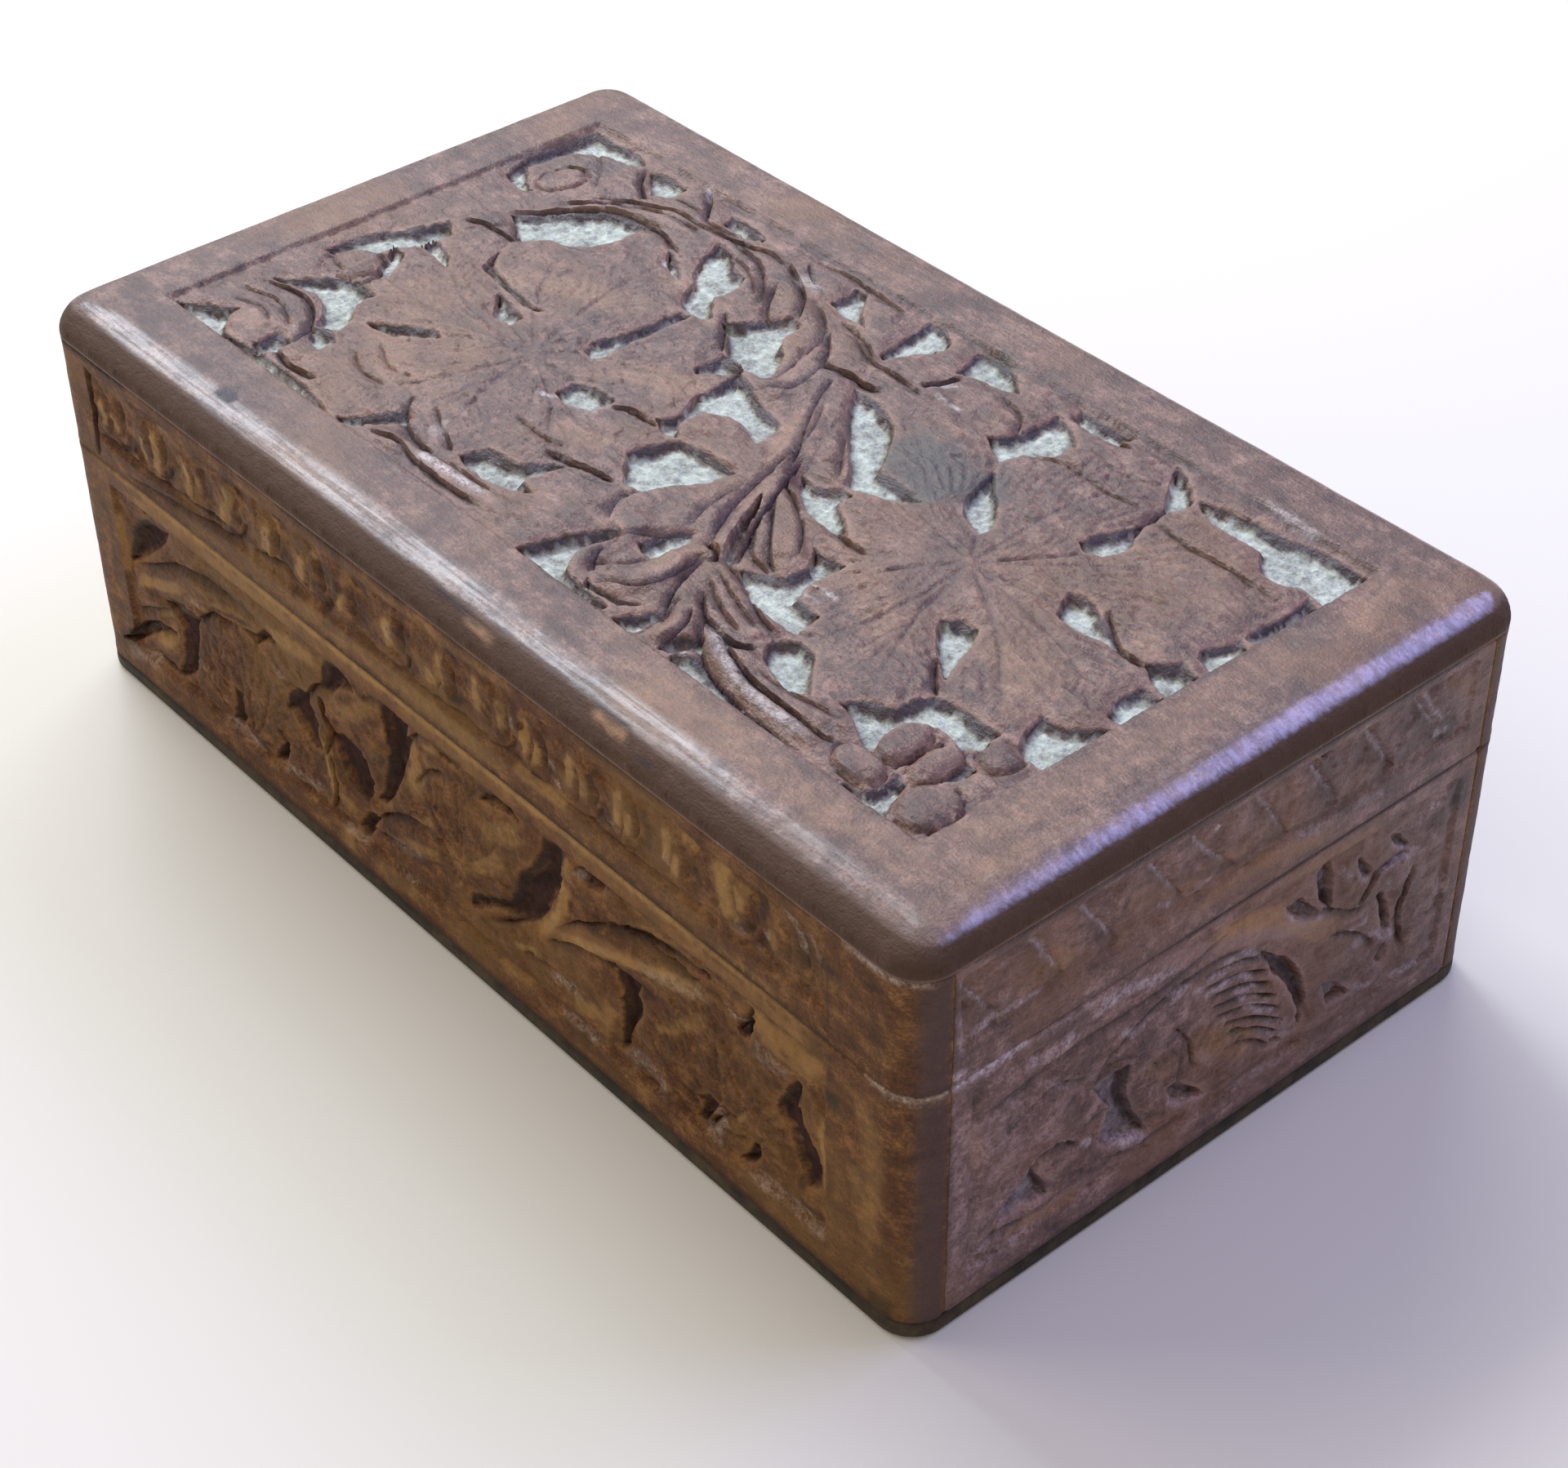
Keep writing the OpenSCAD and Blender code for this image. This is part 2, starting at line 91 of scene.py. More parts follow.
# Flat facets such as a gouge leaves: every cell has its own small tilt.
def facets(x, y, cell, stretch, seed):
    gx, gy = x / (cell * stretch), y / cell
    ix, iy = np.floor(gx), np.floor(gy)
    best = np.full(len(x), 9.0)
    height = np.zeros(len(x))
    for dx in (-1, 0, 1):
        for dy in (-1, 0, 1):
            cx, cy = ix + dx, iy + dy
            away = [grain(cx + 0.0, cy + 0.0, 1, seed + k) for k in range(4)]
            px, py = gx - cx - 0.5 - away[0] * 0.45, gy - cy - 0.5 - away[1] * 0.45
            gap = px * px + py * py
            closer = gap < best
            best = np.where(closer, gap, best)
            height = np.where(closer, away[2] * px + away[3] * py + away[0] * 0.35, height)
    return height


# A curve through the chosen points, sampled about every `step` millimetres; sharp turns stay sharp.
def curveThrough(points, closed, step):
    points = np.array(points, float)
    count = len(points)
    leaving = np.roll(points, -1, axis=0) - points
    heading = np.unwrap(np.arctan2(leaving[:, 1], leaving[:, 0]))
    turn = np.abs((heading - np.roll(heading, 1) + math.pi) % (2 * math.pi) - math.pi)
    sharp = turn > math.radians(48)
    pieces = []
    for i in range(count if closed else count - 1):
        near = [(i + k) % count if closed else min(max(i + k, 0), count - 1) for k in (-1, 0, 1, 2)]
        if closed and sharp[near[1]]:
            near[0] = near[1]
        if closed and sharp[near[2]]:
            near[3] = near[2]
        a, b, c, d = points[near]
        steps = max(1, round(float(np.linalg.norm(c - b)) / step))
        t = np.arange(steps)[:, None] / steps
        pieces.append(0.5 * (2 * b + (c - a) * t + (2 * a - 5 * b + 4 * c - d) * t**2
                             + (3 * b - a - 3 * c + d) * t**3))
    if not closed:
        pieces.append(points[-1:])
    return np.concatenate(pieces)


# Distance from each point to a path, the side it lies on, how far along it is, and whether a
# closed path holds it.
def measureTo(x, y, path, closed):
    starts = path if closed else path[:-1]
    ends = np.roll(path, -1, axis=0) if closed else path[1:]
    best = np.full(len(x), 1e12)
    side = np.zeros(len(x))
    along = np.zeros(len(x))
    inside = np.zeros(len(x), bool)
    for j, ((ax, ay), (bx, by)) in enumerate(zip(starts, ends)):
        dx, dy = bx - ax, by - ay
        t = np.clip(((x - ax) * dx + (y - ay) * dy) / (dx * dx + dy * dy + 1e-12), 0, 1)
        ex, ey = x - ax - t * dx, y - ay - t * dy
        gap = ex * ex + ey * ey
        closer = gap < best
        best = np.where(closer, gap, best)
        side = np.where(closer, dx * ey - dy * ex, side)
        along = np.where(closer, (j + t) / len(starts), along)
        if closed and by != ay:
            crosses = (ay > y) != (by > y)
            inside ^= crosses & (x < dx * (y - ay) / dy + ax)
    return np.sqrt(best), np.sign(side), along, inside


def withinReach(x, y, path, reach):
    low, high = path.min(0) - reach, path.max(0) + reach
    return np.flatnonzero((x > low[0]) & (x < high[0]) & (y > low[1]) & (y < high[1]))


def rounding(distance, radius):
    inner = np.clip(1 - distance / max(radius, 1e-6), 0, 1)
    return radius * (1 - np.sqrt(1 - inner * inner))


def smoothStep(value):
    value = np.clip(value, 0, 1)
    return value * value * (3 - 2 * value)


# The veins of the leaves: one rib to each tip, and fine combed lines that leave it slantwise.
def leafVeins(x, y, leaves, seed):
    lines = np.zeros(len(x))
    for leaf in leaves:
        heart = np.array(leaf["heart"], float)
        nearest = np.full(len(x), 99.0)
        comb = np.zeros(len(x))
        for tip, bend in leaf["ribs"]:
            tip = np.array(tip, float)
            ahead = tip - heart
            middle = (heart + tip) / 2 + np.array([-ahead[1], ahead[0]]) * bend
            rib = curveThrough([heart, middle, tip], False, 2)
            near = withinReach(x, y, rib, leaf["half"])
            gap, _, along, _ = measureTo(x[near], y[near], rib, False)
            length = float(np.hypot(*ahead))
            here = gap < nearest[near]
            spot = near[here]
            gap, along = gap[here], along[here]
            nearest[spot] = gap
            wobble = grain(x[spot], y[spot], 5, seed) * 0.5
            phase = (along * length - 1.3 * gap) / leaf["spacing"] + wobble
            tooth = 1 - np.abs((phase % 1) - 0.5) * 4
            strength = smoothStep(gap / 1.2) * smoothStep((leaf["half"] - gap) / 3) * smoothStep(along * 6)
            strength *= 0.65 + 0.35 * grain(x[spot], y[spot], 3, seed + 9)
            main = np.clip(1 - gap / 0.6, 0, 1) * np.clip((1 - along) * 3, 0, 1) * smoothStep(along * 6)
            comb[spot] = np.maximum(np.clip(tooth, 0, 1) * strength * 0.7, main)
        dx, dy = x - heart[0], y - heart[1]
        far = np.hypot(dx, dy)
        count = leaf["rays"]
        phase = np.arctan2(dy, dx) * count / (2 * math.pi) + 0.5 * grain(x, y, 7, seed + 21)
        tooth = np.clip(1 - np.abs((phase % 1) - 0.5) * 4, 0, 1)
        share = smoothStep(far / 12 - 0.3) * smoothStep((leaf["reach"] - far) / 10)
        broken = smoothStep(grain(dx * 0.4, dy * 0.4, 2.2, seed + 22) * 1.6 + 0.6)
        comb = np.maximum(comb, tooth * share * broken * 0.75)
        lines = np.maximum(lines, comb)
    return lines


# How strongly each point lies on one of the strokes.
def strokeMask(x, y, strokes):
    mask = np.zeros(len(x))
    for wide, strength, *points in strokes:
        path = curveThrough(points, False, 1)
        near = withinReach(x, y, path, wide)
        gap, _, along, _ = measureTo(x[near], y[near], path, False)
        ends = np.clip(np.minimum(along, 1 - along) * 6 + 0.15, 0, 1)
        soft = grain(x[near], y[near], 1.5, 77) * 0.25
        mask[near] = np.maximum(mask[near], smoothStep((wide - gap) / wide * 1.6 + soft) * ends * strength)
    return mask


farAway = 9.0


# Distance to the nearest pocket, below zero inside one.
def pocketEdge(x, y, face):
    edge = np.full(len(x), farAway)
    for loop in face["loops"]:
        near = withinReach(x, y, loop, 6)
        gap, _, _, inside = measureTo(x[near], y[near], loop, True)
        signed = np.where(inside, -gap, gap)
        closer = np.abs(signed) < np.abs(edge[near])
        closer |= inside & (edge[near] > 0)
        closer &= ~((edge[near] < 0) & ~inside)
        spot = near[closer]
        edge[spot] = signed[closer]
    return edge


# How much each pocket wall leans towards the way that the face's shaded walls look.
def wallLean(x, y, face, probe=0.25):
    if not face["loops"]:
        return np.zeros(len(x))
    slopes = []
    for stepX, stepY in ((probe, 0), (0, probe)):
        ahead, behind = nearEdge(x + stepX, y + stepY, face), nearEdge(x - stepX, y - stepY, face)
        slopes.append((ahead - behind) / (2 * probe))
    return face["lean"][0] * slopes[0] + face["lean"][1] * slopes[1]


def nearEdge(x, y, face):
    edge = np.full(len(x), farAway)
    for loop in face["loops"]:
        near = withinReach(x, y, loop, 3)
        gap, _, _, inside = measureTo(x[near], y[near], loop, True)
        edge[near] = np.minimum(edge[near], np.where(inside, -gap, gap))
    return edge


# Unevenness of the wood's surface: broad waves, gouge facets and a fine grain, calmer on the border.
def unevenness(x, y, face, inField):
    seed = face["seed"]
    wave = grain(x, y, 9, seed) * 0.2 + grain(x, y, 4, seed + 1) * 0.16
    wave = wave * (0.2 + 0.8 * inField)
    wave += facets(x, y, 2.6, 1.7, seed + 40) * face["facet"] * (0.12 + 0.88 * inField)
    fine = facets(x, y, 1.3, 1.2, seed + 50) * 0.13 + grain(x, y, 1.0, seed + 8) * 0.06
    return wave + fine * (0.15 + 0.85 * inField)


# Adds the rounded stems and the oval buds to a surface.
def addSwellings(x, y, face, raised):
    for wide, rise, *points in face["ridges"]:
        path = curveThrough(points, False, 1)
        near = withinReach(x, y, path, wide)
        gap, _, along, _ = measureTo(x[near], y[near], path, False)
        taper = np.clip(np.minimum(along, 1 - along) * 6, 0, 1) ** 0.5
        raised[near] += rise * taper * np.sqrt(np.clip(1 - (gap / wide) ** 2, 0, 1))
    for (cx, cy), (rx, ry), turn, rise in face["buds"]:
        dx, dy = x - cx, y - cy
        cs, sn = math.cos(math.radians(turn)), math.sin(math.radians(turn))
        reach = np.hypot((dx * cs + dy * sn) / rx, (dy * cs - dx * sn) / ry)
        raised += rise * np.sqrt(np.clip(1 - reach * reach, 0, 1))
        raised -= face["ring"] * np.clip(1 - np.abs(reach - 1.05) / 0.13, 0, 1)


# Depth of the gouge cuts, each steep on one side and gentle on the other.
def cutDepth(x, y, face):
    groove = np.zeros(len(x))
    for path, depth, wide in face["cuts"]:
        near = withinReach(x, y, path, wide + 1)
        gap, side, along, _ = measureTo(x[near], y[near], path, False)
        wide = wide * (1 + 0.25 * grain(x[near], y[near], 3, face["seed"] + 12))
        steep = np.clip(1 - gap / 0.35, 0, 1)
        gentle = np.clip(1 - gap / wide, 0, 1) ** 1.4
        taper = np.clip(np.minimum(along, 1 - along) * 6, 0, 1) ** 0.7
        deep = face["cutScale"] * depth * taper * np.where(side > 0, steep, gentle)
        groove[near] = np.maximum(groove[near], deep)
    return groove


# Height of a carved face over its points, with the masks that its material reads, painted light and shade
# among them.
def carve(x, y, face):
    seed = face["seed"]
    edge = pocketEdge(x, y, face)
    low, high = np.array(face["field"][:2]), np.array(face["field"][2:])
    border = np.minimum(np.minimum(x - low[0], high[0] - x), np.minimum(y - low[1], high[1] - y))
    inField = smoothStep(border / 0.7 + 0.5)
    outward = np.maximum(edge, 0)
    raised = unevenness(x, y, face, inField)
    raised -= face["sink"] * inField
    raised += face["swell"] * (1 - np.exp(-outward / 2.5)) * smoothStep(border / 3) * inField
    raised -= 0.2 * np.exp(-outward / 0.45) * inField
    addSwellings(x, y, face, raised)
    veins = leafVeins(x, y, face["leaves"], seed) * inField * smoothStep(outward / 0.8)
    groove = cutDepth(x, y, face)
    raised -= 0.42 * veins
    raised -= groove
    floor = -face["depth"] * (1 + 0.15 * grain(x, y, 6, seed + 2))
    floor += 0.26 * grain(x, y, 1.1, seed + 3) + 0.18 * grain(x, y, 0.6, seed + 4)
    shaded = smoothStep(wallLean(x, y, face) * 1.4) * (1 + 0.5 * grain(x, y, 4, seed + 13))
    slope = face["wall"] + face["shade"] * shaded
    sunk = np.clip(-edge / slope, 0, 1)
    sunk = sunk * (0.6 + 0.4 * sunk)
    height = raised * (1 - sunk) + np.minimum(floor, raised) * sunk
    drop = face["rim"](x, y)
    calm = smoothStep(face["fromRim"](x, y) / 2.0)
    height = np.minimum(height - 0.1, -0.02) * calm - drop
    gloss = rimGloss(x, y)
    highEdges = np.exp(-(outward / 0.7) ** 2) * (edge > 0) * inField
    # Masks for the material. Pocket floors, stains and dust are the wood's own; the walls, the cuts and
    # veins, the dark strokes and the steep fall of the lid's edge carry painted shade; the wear, golden and
    # pale strokes carry painted highlights as well as wear and dust.
    masks = {
        "ground": smoothStep((-edge - slope * 0.75) / 0.5 + 0.7 * grain(x, y, 1.1, seed + 15)),
        "wall": np.clip(-edge / 0.3, 0, 1) * np.clip((slope + edge) / 0.5 + 0.3, 0, 1) * (edge < 0),
        "wear": np.maximum(highEdges, strokeMask(x, y, face["wornAndHighlight"])),
        "rim": np.clip((drop - 0.04) / 0.15, 0, 1) * np.clip((1.12 + 0.6 * gloss - drop) / 0.45, 0,
            1) * gloss,
        "side": np.clip((drop - 0.55 - 0.4 * gloss) / 0.5, 0, 1),
        "groove": np.clip(np.maximum(groove / 0.9, veins * 0.6), 0, 1),
        "turned": face["turned"](x, y),
        "field": inField,
    }
    masks.update({key: strokeMask(x, y, face[key]) for key in ("dark", "gold", "pale", "stain")})
    return height, masks


def hexGrid(low, high, step, seed):
    rows = int((high[1] - low[1]) / (step * 0.866)) + 1
    columns = int((high[0] - low[0]) / step) + 1
    gx, gy = np.meshgrid(np.arange(columns), np.arange(rows))
    chance = np.random.default_rng(seed)
    x = low[0] + (gx + 0.5 * (gy % 2)) * step + chance.uniform(-0.16, 0.16, gx.shape) * step
    y = low[1] + gy * step * 0.866 + chance.uniform(-0.16, 0.16, gx.shape) * step
    return np.stack([x.ravel(), y.ravel()], 1)


# Keeps the points that lie apart from the kept ones and from each other, on a grid of small cells.
def thinned(points, cell, taken):
    keep = []
    for i, key in enumerate(map(tuple, np.floor(points / cell).astype(int))):
        if key in taken:
            continue
        taken.add(key)
        keep.append(i)
    return points[keep]


def clearOf(points, fixed, gap):
    cells = set()
    for dx in (-1, 0, 1):
        for dy in (-1, 0, 1):
            cells.update(map(tuple, (np.floor(fixed / gap).astype(int) + (dx, dy))))
    keys = map(tuple, np.floor(points / gap).astype(int))
    return points[[key not in cells for key in keys]]


def rowsBeside(path, closed, offsets):
    ahead = np.roll(path, -1, axis=0) - np.roll(path, 1, axis=0)
    if not closed:
        ahead[0], ahead[-1] = path[1] - path[0], path[-1] - path[-2]
    ahead /= np.linalg.norm(ahead, axis=1)[:, None] + 1e-9
    across = np.stack([-ahead[:, 1], ahead[:, 0]], 1)
    return [path + across * offset for offset in offsets]


def ringDirection(loop):
    x, y = loop[:, 0], loop[:, 1]
    return np.sign(np.sum(x * np.roll(y, -1) - y * np.roll(x, -1)))


# Points of a face: its boundary first, then rows along every edge and cut, then a jittered grid.
def facePoints(face):
    boundary = face["boundary"]
    fixed = [np.concatenate(face["rimRows"])]
    for loop in face["loops"]:
        turn = ringDirection(loop)
        fixed += rowsBeside(loop, True, [-0.16 * turn, 0.0, 0.45 * turn])
    for path, depth, wide in face["cuts"]:
        fixed += rowsBeside(path, False, [0.0, 0.36, -0.3])
    fixed = thinned(np.concatenate(fixed), 0.17, set())
    fixed = fixed[face["fromRim"](fixed[:, 0], fixed[:, 1]) > 0.02]
    low, high = np.array(face["field"][:2]) - 1, np.array(face["field"][2:]) + 1
    fine = hexGrid(low, high, face["fine"], face["seed"])
    coarse = hexGrid(boundary.min(0), boundary.max(0), face["coarse"], face["seed"] + 1)
    outside = ((coarse < low) | (coarse > high)).any(1)
    free = np.concatenate([fine, coarse[outside]])
    free = clearOf(free, fixed, 0.3)
    free = free[face["fromRim"](free[:, 0], free[:, 1]) > face["rimClear"]]
    return np.concatenate([boundary, fixed, free])


def triangulate(points, boundaryCount):
    ring = [(i, (i + 1) % boundaryCount) for i in range(boundaryCount)]
    result = delaunay_2d_cdt([Vector(p) for p in points.tolist()], ring, [], 1, 1e-7)
    verts = np.array([tuple(v) for v in result[0]])
    return verts, [list(f) for f in result[2]]


# Turns points, faces and masks into a mesh object in metres.
def makePiece(name, verts, faces, masks, material):
    mesh = bpy.data.meshes.new(name)
    mesh.from_pydata((np.asarray(verts) * mm).tolist(), [], faces)
    for key, values in masks.items():
        layer = mesh.attributes.new(key, "FLOAT", "POINT")
        layer.data.foreach_set("value", np.asarray(values, np.float32))
    mesh.materials.append(material)
    mesh.shade_smooth()
    mesh.set_sharp_from_angle(angle=math.radians(58))
    mesh.update()
    piece = bpy.data.objects.new(name, mesh)
    bpy.context.scene.collection.objects.link(piece)
    return piece


def makeBoxes(name, boxes):
    verts, faces = [], []
    for low, high in boxes:
        first = len(verts)
        verts += [(x, y, z) for z in (low[2], high[2]) for x, y in (
            (low[0], low[1]), (high[0], low[1]), (high[0], high[1]), (low[0], high[1]))]
        faces += [[first + k for k in side] for side in (
            (3, 2, 1, 0), (4, 5, 6, 7), (0, 1, 5, 4), (1, 2, 6, 5), (2, 3, 7, 6), (3, 0, 4, 7))]
    mesh = bpy.data.meshes.new(name)
    mesh.from_pydata((np.array(verts) * mm).tolist(), [], faces)
    cutter = bpy.data.objects.new(name, mesh)
    bpy.context.scene.collection.objects.link(cutter)
    return cutter


# Cuts the mortises of the hinge leaves into a board.
def cutBoxes(piece, boxes):
    cutter = makeBoxes(piece.name + "Cutter", boxes)
    change = piece.modifiers.new("mortises", "BOOLEAN")
    change.operation, change.solver, change.object = "DIFFERENCE", "EXACT", cutter
    mesh = bpy.data.meshes.new_from_object(piece.evaluated_get(bpy.context.evaluated_depsgraph_get()))
    piece.modifiers.clear()
    piece.data = mesh
    bpy.data.objects.remove(cutter)
    mesh.set_sharp_from_angle(angle=math.radians(58))


# Builds a whole board: its carved face, and the plain faces that close it behind.
def buildBoard(name, face, material, node, body, seats=()):
    points = facePoints(face)
    count = len(face["boundary"])
    verts2d, faces = triangulate(points, count)
    if len(verts2d) != len(points):
        print("note:", name, "merged", len(points) - len(verts2d), "points")
    height, masks = carve(verts2d[:, 0], verts2d[:, 1], face)
    verts = face["place"](verts2d[:, 0], verts2d[:, 1], height)
    extra, closing = face["close"](verts[:count], count, len(verts))
    verts = np.concatenate([verts, extra]) if len(extra) else verts
    masks = {key: np.concatenate([values, np.zeros(len(extra))]) for key, values in masks.items()}
    piece = makePiece(name, verts, faces + closing, masks, material)
    if seats:
        cutBoxes(piece, seats)
    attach(piece, body)
    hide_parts(node)
    print("board", name, len(verts), "points", len(faces), "faces")
    return piece


def evenly(start, end, step):
    return np.linspace(start, end, max(2, int(round(abs(end - start) / step)) + 1))


# Distances from an edge at which a rounding of this radius has its rows.
def roundRows(radius, steps):
    return [radius * (1 - math.cos(math.radians(90) * k / steps)) for k in range(1, steps + 1)]


# The plan of the lid's top board: a rectangle with round corners.
def topOutline(inset, step):
    halfX, halfY = size["length"] / 2 - inset, size["width"] / 2 - inset
    radius = max(size["corner"] - inset, 0.3)
    ring = []
    for cx, cy, turn in ((1, -1, -90), (1, 1, 0), (-1, 1, 90), (-1, -1, 180)):
        count = max(3, int(radius * 1.6 / step))
        for k in range(count + 1):
            angle = math.radians(turn + 90 * k / count)
            ring.append((cx * (halfX - radius) + radius * math.cos(angle),
                         cy * (halfY - radius) + radius * math.sin(angle)))
    ring = np.array(ring)
    out = []
    for a, b in zip(ring, np.roll(ring, -1, axis=0)):
        steps = max(1, int(round(float(np.linalg.norm(b - a)) / step)))
        out += [a + (b - a) * k / steps for k in range(steps)]
    return np.array(out)


def topFromRim(x, y):
    radius = size["corner"]
    qx = np.abs(x) - (size["length"] / 2 - radius)
    qy = np.abs(y) - (size["width"] / 2 - radius)
    outer = np.hypot(np.maximum(qx, 0), np.maximum(qy, 0)) + np.minimum(np.maximum(qx, qy), 0)
    return radius - outer


# The worn edge of the lid: a quarter ellipse, widest along the front and narrow at the back and left.
def topRim(x, y):
    halfX, halfY = size["length"] / 2, size["width"] / 2
    toFront, toRight = halfY + y, halfX - x
    toFar = np.minimum(halfY - y, halfX + x)
    near = smoothStep(0.5 + (toFar - np.minimum(toFront, toRight)) / wornRim["sideBlend"])
    reach = wornRim["farReach"] + (wornRim["reach"] - wornRim["farReach"]) * near
    atRight = smoothStep(0.5 + (toFront - toRight) / wornRim["cornerBlend"])
    reach -= wornRim["rightNarrower"] * near * atRight
    inner = np.clip(1 - topFromRim(x, y) / reach, 0, 1)
    return wornRim["drop"] * (1 - np.sqrt(1 - inner * inner))


# How much of the polish is left along the worn edge: less along the front than on the right.
def rimGloss(x, y):
    toRight = smoothStep(0.5 + (x + y - (size["length"] - size["width"]) / 2) / wornRim["cornerBlend"])
    return wornRim["frontGloss"] + (1 - wornRim["frontGloss"]) * toRight


def topFace(carving):
    reach = wornRim["reach"]
    boundary = topOutline(0, 0.9)
    face = dict(carving)
    face.update(
        boundary=boundary,
        rimRows=[topOutline(d, 0.8) for d in roundRows(reach, 16)],
        fromRim=topFromRim,
        rim=topRim,
        rimClear=reach + 0.4,
        turned=lambda x, y: np.zeros(len(x)),
        place=lambda x, y, h: np.stack([x, y, topHigh[2] + h], 1),
    )

    def close(ring, count, first):
        lower = ring.copy()
        lower[:, 2] = topLow[2]
        sides = [[k, first + k, first + (k + 1) % count, (k + 1) % count] for k in range(count)]
        return lower, sides + [[first + k for k in reversed(range(count))]]

    face["close"] = close
    return face


# A rectangular face that may wrap round the box's upright corners, with its own rounding on each side.
def wallFace(carving, halfFlat, turned, lowZ, highZ, edges, plane, backPlane):
    wraps = edges["wraps"]
    radius = size["corner"]
    arc = radius * math.pi / 2 if wraps else 0
    tail = size["wall"] - radius if wraps else 0
    half = halfFlat + arc + tail
    step = 0.9
    alongX = evenly(-half, half, step)
    alongZ = evenly(lowZ, highZ, step)
    boundary = np.concatenate([
        np.stack([alongX[:-1], np.full(len(alongX) - 1, lowZ)], 1),
        np.stack([np.full(len(alongZ) - 1, half), alongZ[:-1]], 1),
        np.stack([alongX[::-1][:-1], np.full(len(alongX) - 1, highZ)], 1),
        np.stack([np.full(len(alongZ) - 1, -half), alongZ[::-1][:-1]], 1),
    ])
    ends, low, high = edges["ends"], edges["low"], edges["high"]

    def drop(x, z):
        fall = np.maximum(rounding(half - np.abs(x), ends), rounding(z - lowZ, low))
        return np.maximum(fall, rounding(highZ - z, high))

    def fromRim(x, z):
        return np.minimum(half - np.abs(x), np.minimum(z - lowZ, highZ - z))

    def place(u, v, h):
        over = np.maximum(np.abs(u) - halfFlat, 0)
        turn = np.minimum(over / radius, math.pi / 2)
        tailing = np.maximum(over - arc, 0) if wraps else 0
        side = np.sign(u)
        out = h + radius
        px = side * (np.minimum(np.abs(u), halfFlat) + out * np.sin(turn))
        py = plane - radius + out * np.cos(turn) - tailing
        if turned == "front":
            return np.stack([px, -py, v], 1)
        if turned == "back":
            return np.stack([-px, py, v], 1)
        if turned == "right":
            return np.stack([py, px, v], 1)
        return np.stack([-py, -px, v], 1)

    rows = [np.stack([alongX, np.full(len(alongX), lowZ + d)], 1) for d in roundRows(low, 3)]
    rows += [np.stack([alongX, np.full(len(alongX), highZ - d)], 1) for d in roundRows(high, 3)]
    for d in roundRows(ends, 2):
        rows += [np.stack([np.full(len(alongZ), s * (half - d)), alongZ], 1) for s in (-1, 1)]
    # The stretch that has turned the corner, but not the tail that lies hidden in the joint.
    def turnedAt(x, z):
        over = np.abs(x) - halfFlat
        return smoothStep((over - 0.38 * arc) / max(0.3 * arc, 0.1)) * (over < arc + 0.1) * wraps

    face = dict(carving)
    face.update(boundary=boundary, rimRows=rows, fromRim=fromRim, rim=drop, place=place, rimClear=0.35,
                turned=turnedAt)

    def close(ring, count, first):
        nx, nz = len(alongX) - 1, len(alongZ) - 1
        lower = list(range(0, nx + 1))
        right = list(range(nx, nx + nz + 1))
        upper = list(range(nx + nz, 2 * nx + nz + 1))
        left = [k % count for k in range(2 * nx + nz, count + 1)]
        if wraps:
            return np.zeros((0, 3)), [lower[::-1], upper[::-1], right[::-1] + left[::-1]]
        corners = place(np.array([-half, half, half, -half]), np.array([lowZ, lowZ, highZ, highZ]),
                        np.full(4, backPlane - plane))
        b = [first + k for k in range(4)]
        return corners, [lower[::-1] + [b[0], b[1]], right[::-1] + [b[1], b[2]],
                         upper[::-1] + [b[2], b[3]], left[::-1] + [b[3], b[0]], [b[0], b[3], b[2], b[1]]]

    face["close"] = close
    return face


# Pocket outlines with the small unevenness of a hand-held gouge.
def smoothLoops(pockets, seed=3):
    loops = []
    for points in pockets:
        loop = curveThrough(points, True, 0.34)
        for axis in (0, 1):
            loop[:, axis] += 0.16 * grain(loop[:, 0], loop[:, 1], 1.3, seed + axis)
        loops.append(loop)
    return loops


# Each cut has a depth, a width and then its points. A ridge has a width, a rise and its points, and a
# stroke of colour (painted highlight, painted shade, dust, wear or stain) a width, a strength and its
# points. All are millimetres in the board's own plane.
def smoothCuts(cuts):
    return [(curveThrough(points, False, 0.5), depth, wide) for depth, wide, *points in cuts]


topLeaves = [
    {"heart": (-38, -8), "half": 8.5, "spacing": 2.1, "rays": 60, "reach": 26, "ribs": [
        ((-61, 17), 0.08), ((-46, 26), 0.06), ((-27, 15), -0.05), ((-14, 5), 0.05), ((-8, -12), 0.05),
        ((-14, -24), 0.05),
        ((-30, -30), -0.05), ((-48, -36), 0.05), ((-63, -27), -0.08), ((-74, -12), 0.05), ((-72, 0), 0.1),
        ((-67, 8), 0.1)]},
    {"heart": (46, 4), "half": 9, "spacing": 2.3, "rays": 76, "reach": 38, "ribs": [
        ((24, 7), -0.05), ((33, 28), 0.08), ((47, 38), 0.05), ((60, 35), -0.05), ((77, 30), 0.06),
        ((79, 14), -0.05),
        ((79, -4), 0.05), ((73, -16), 0.05), ((58, -25), -0.05), ((45, -24), 0.05), ((36, -14), -0.06)]},
]
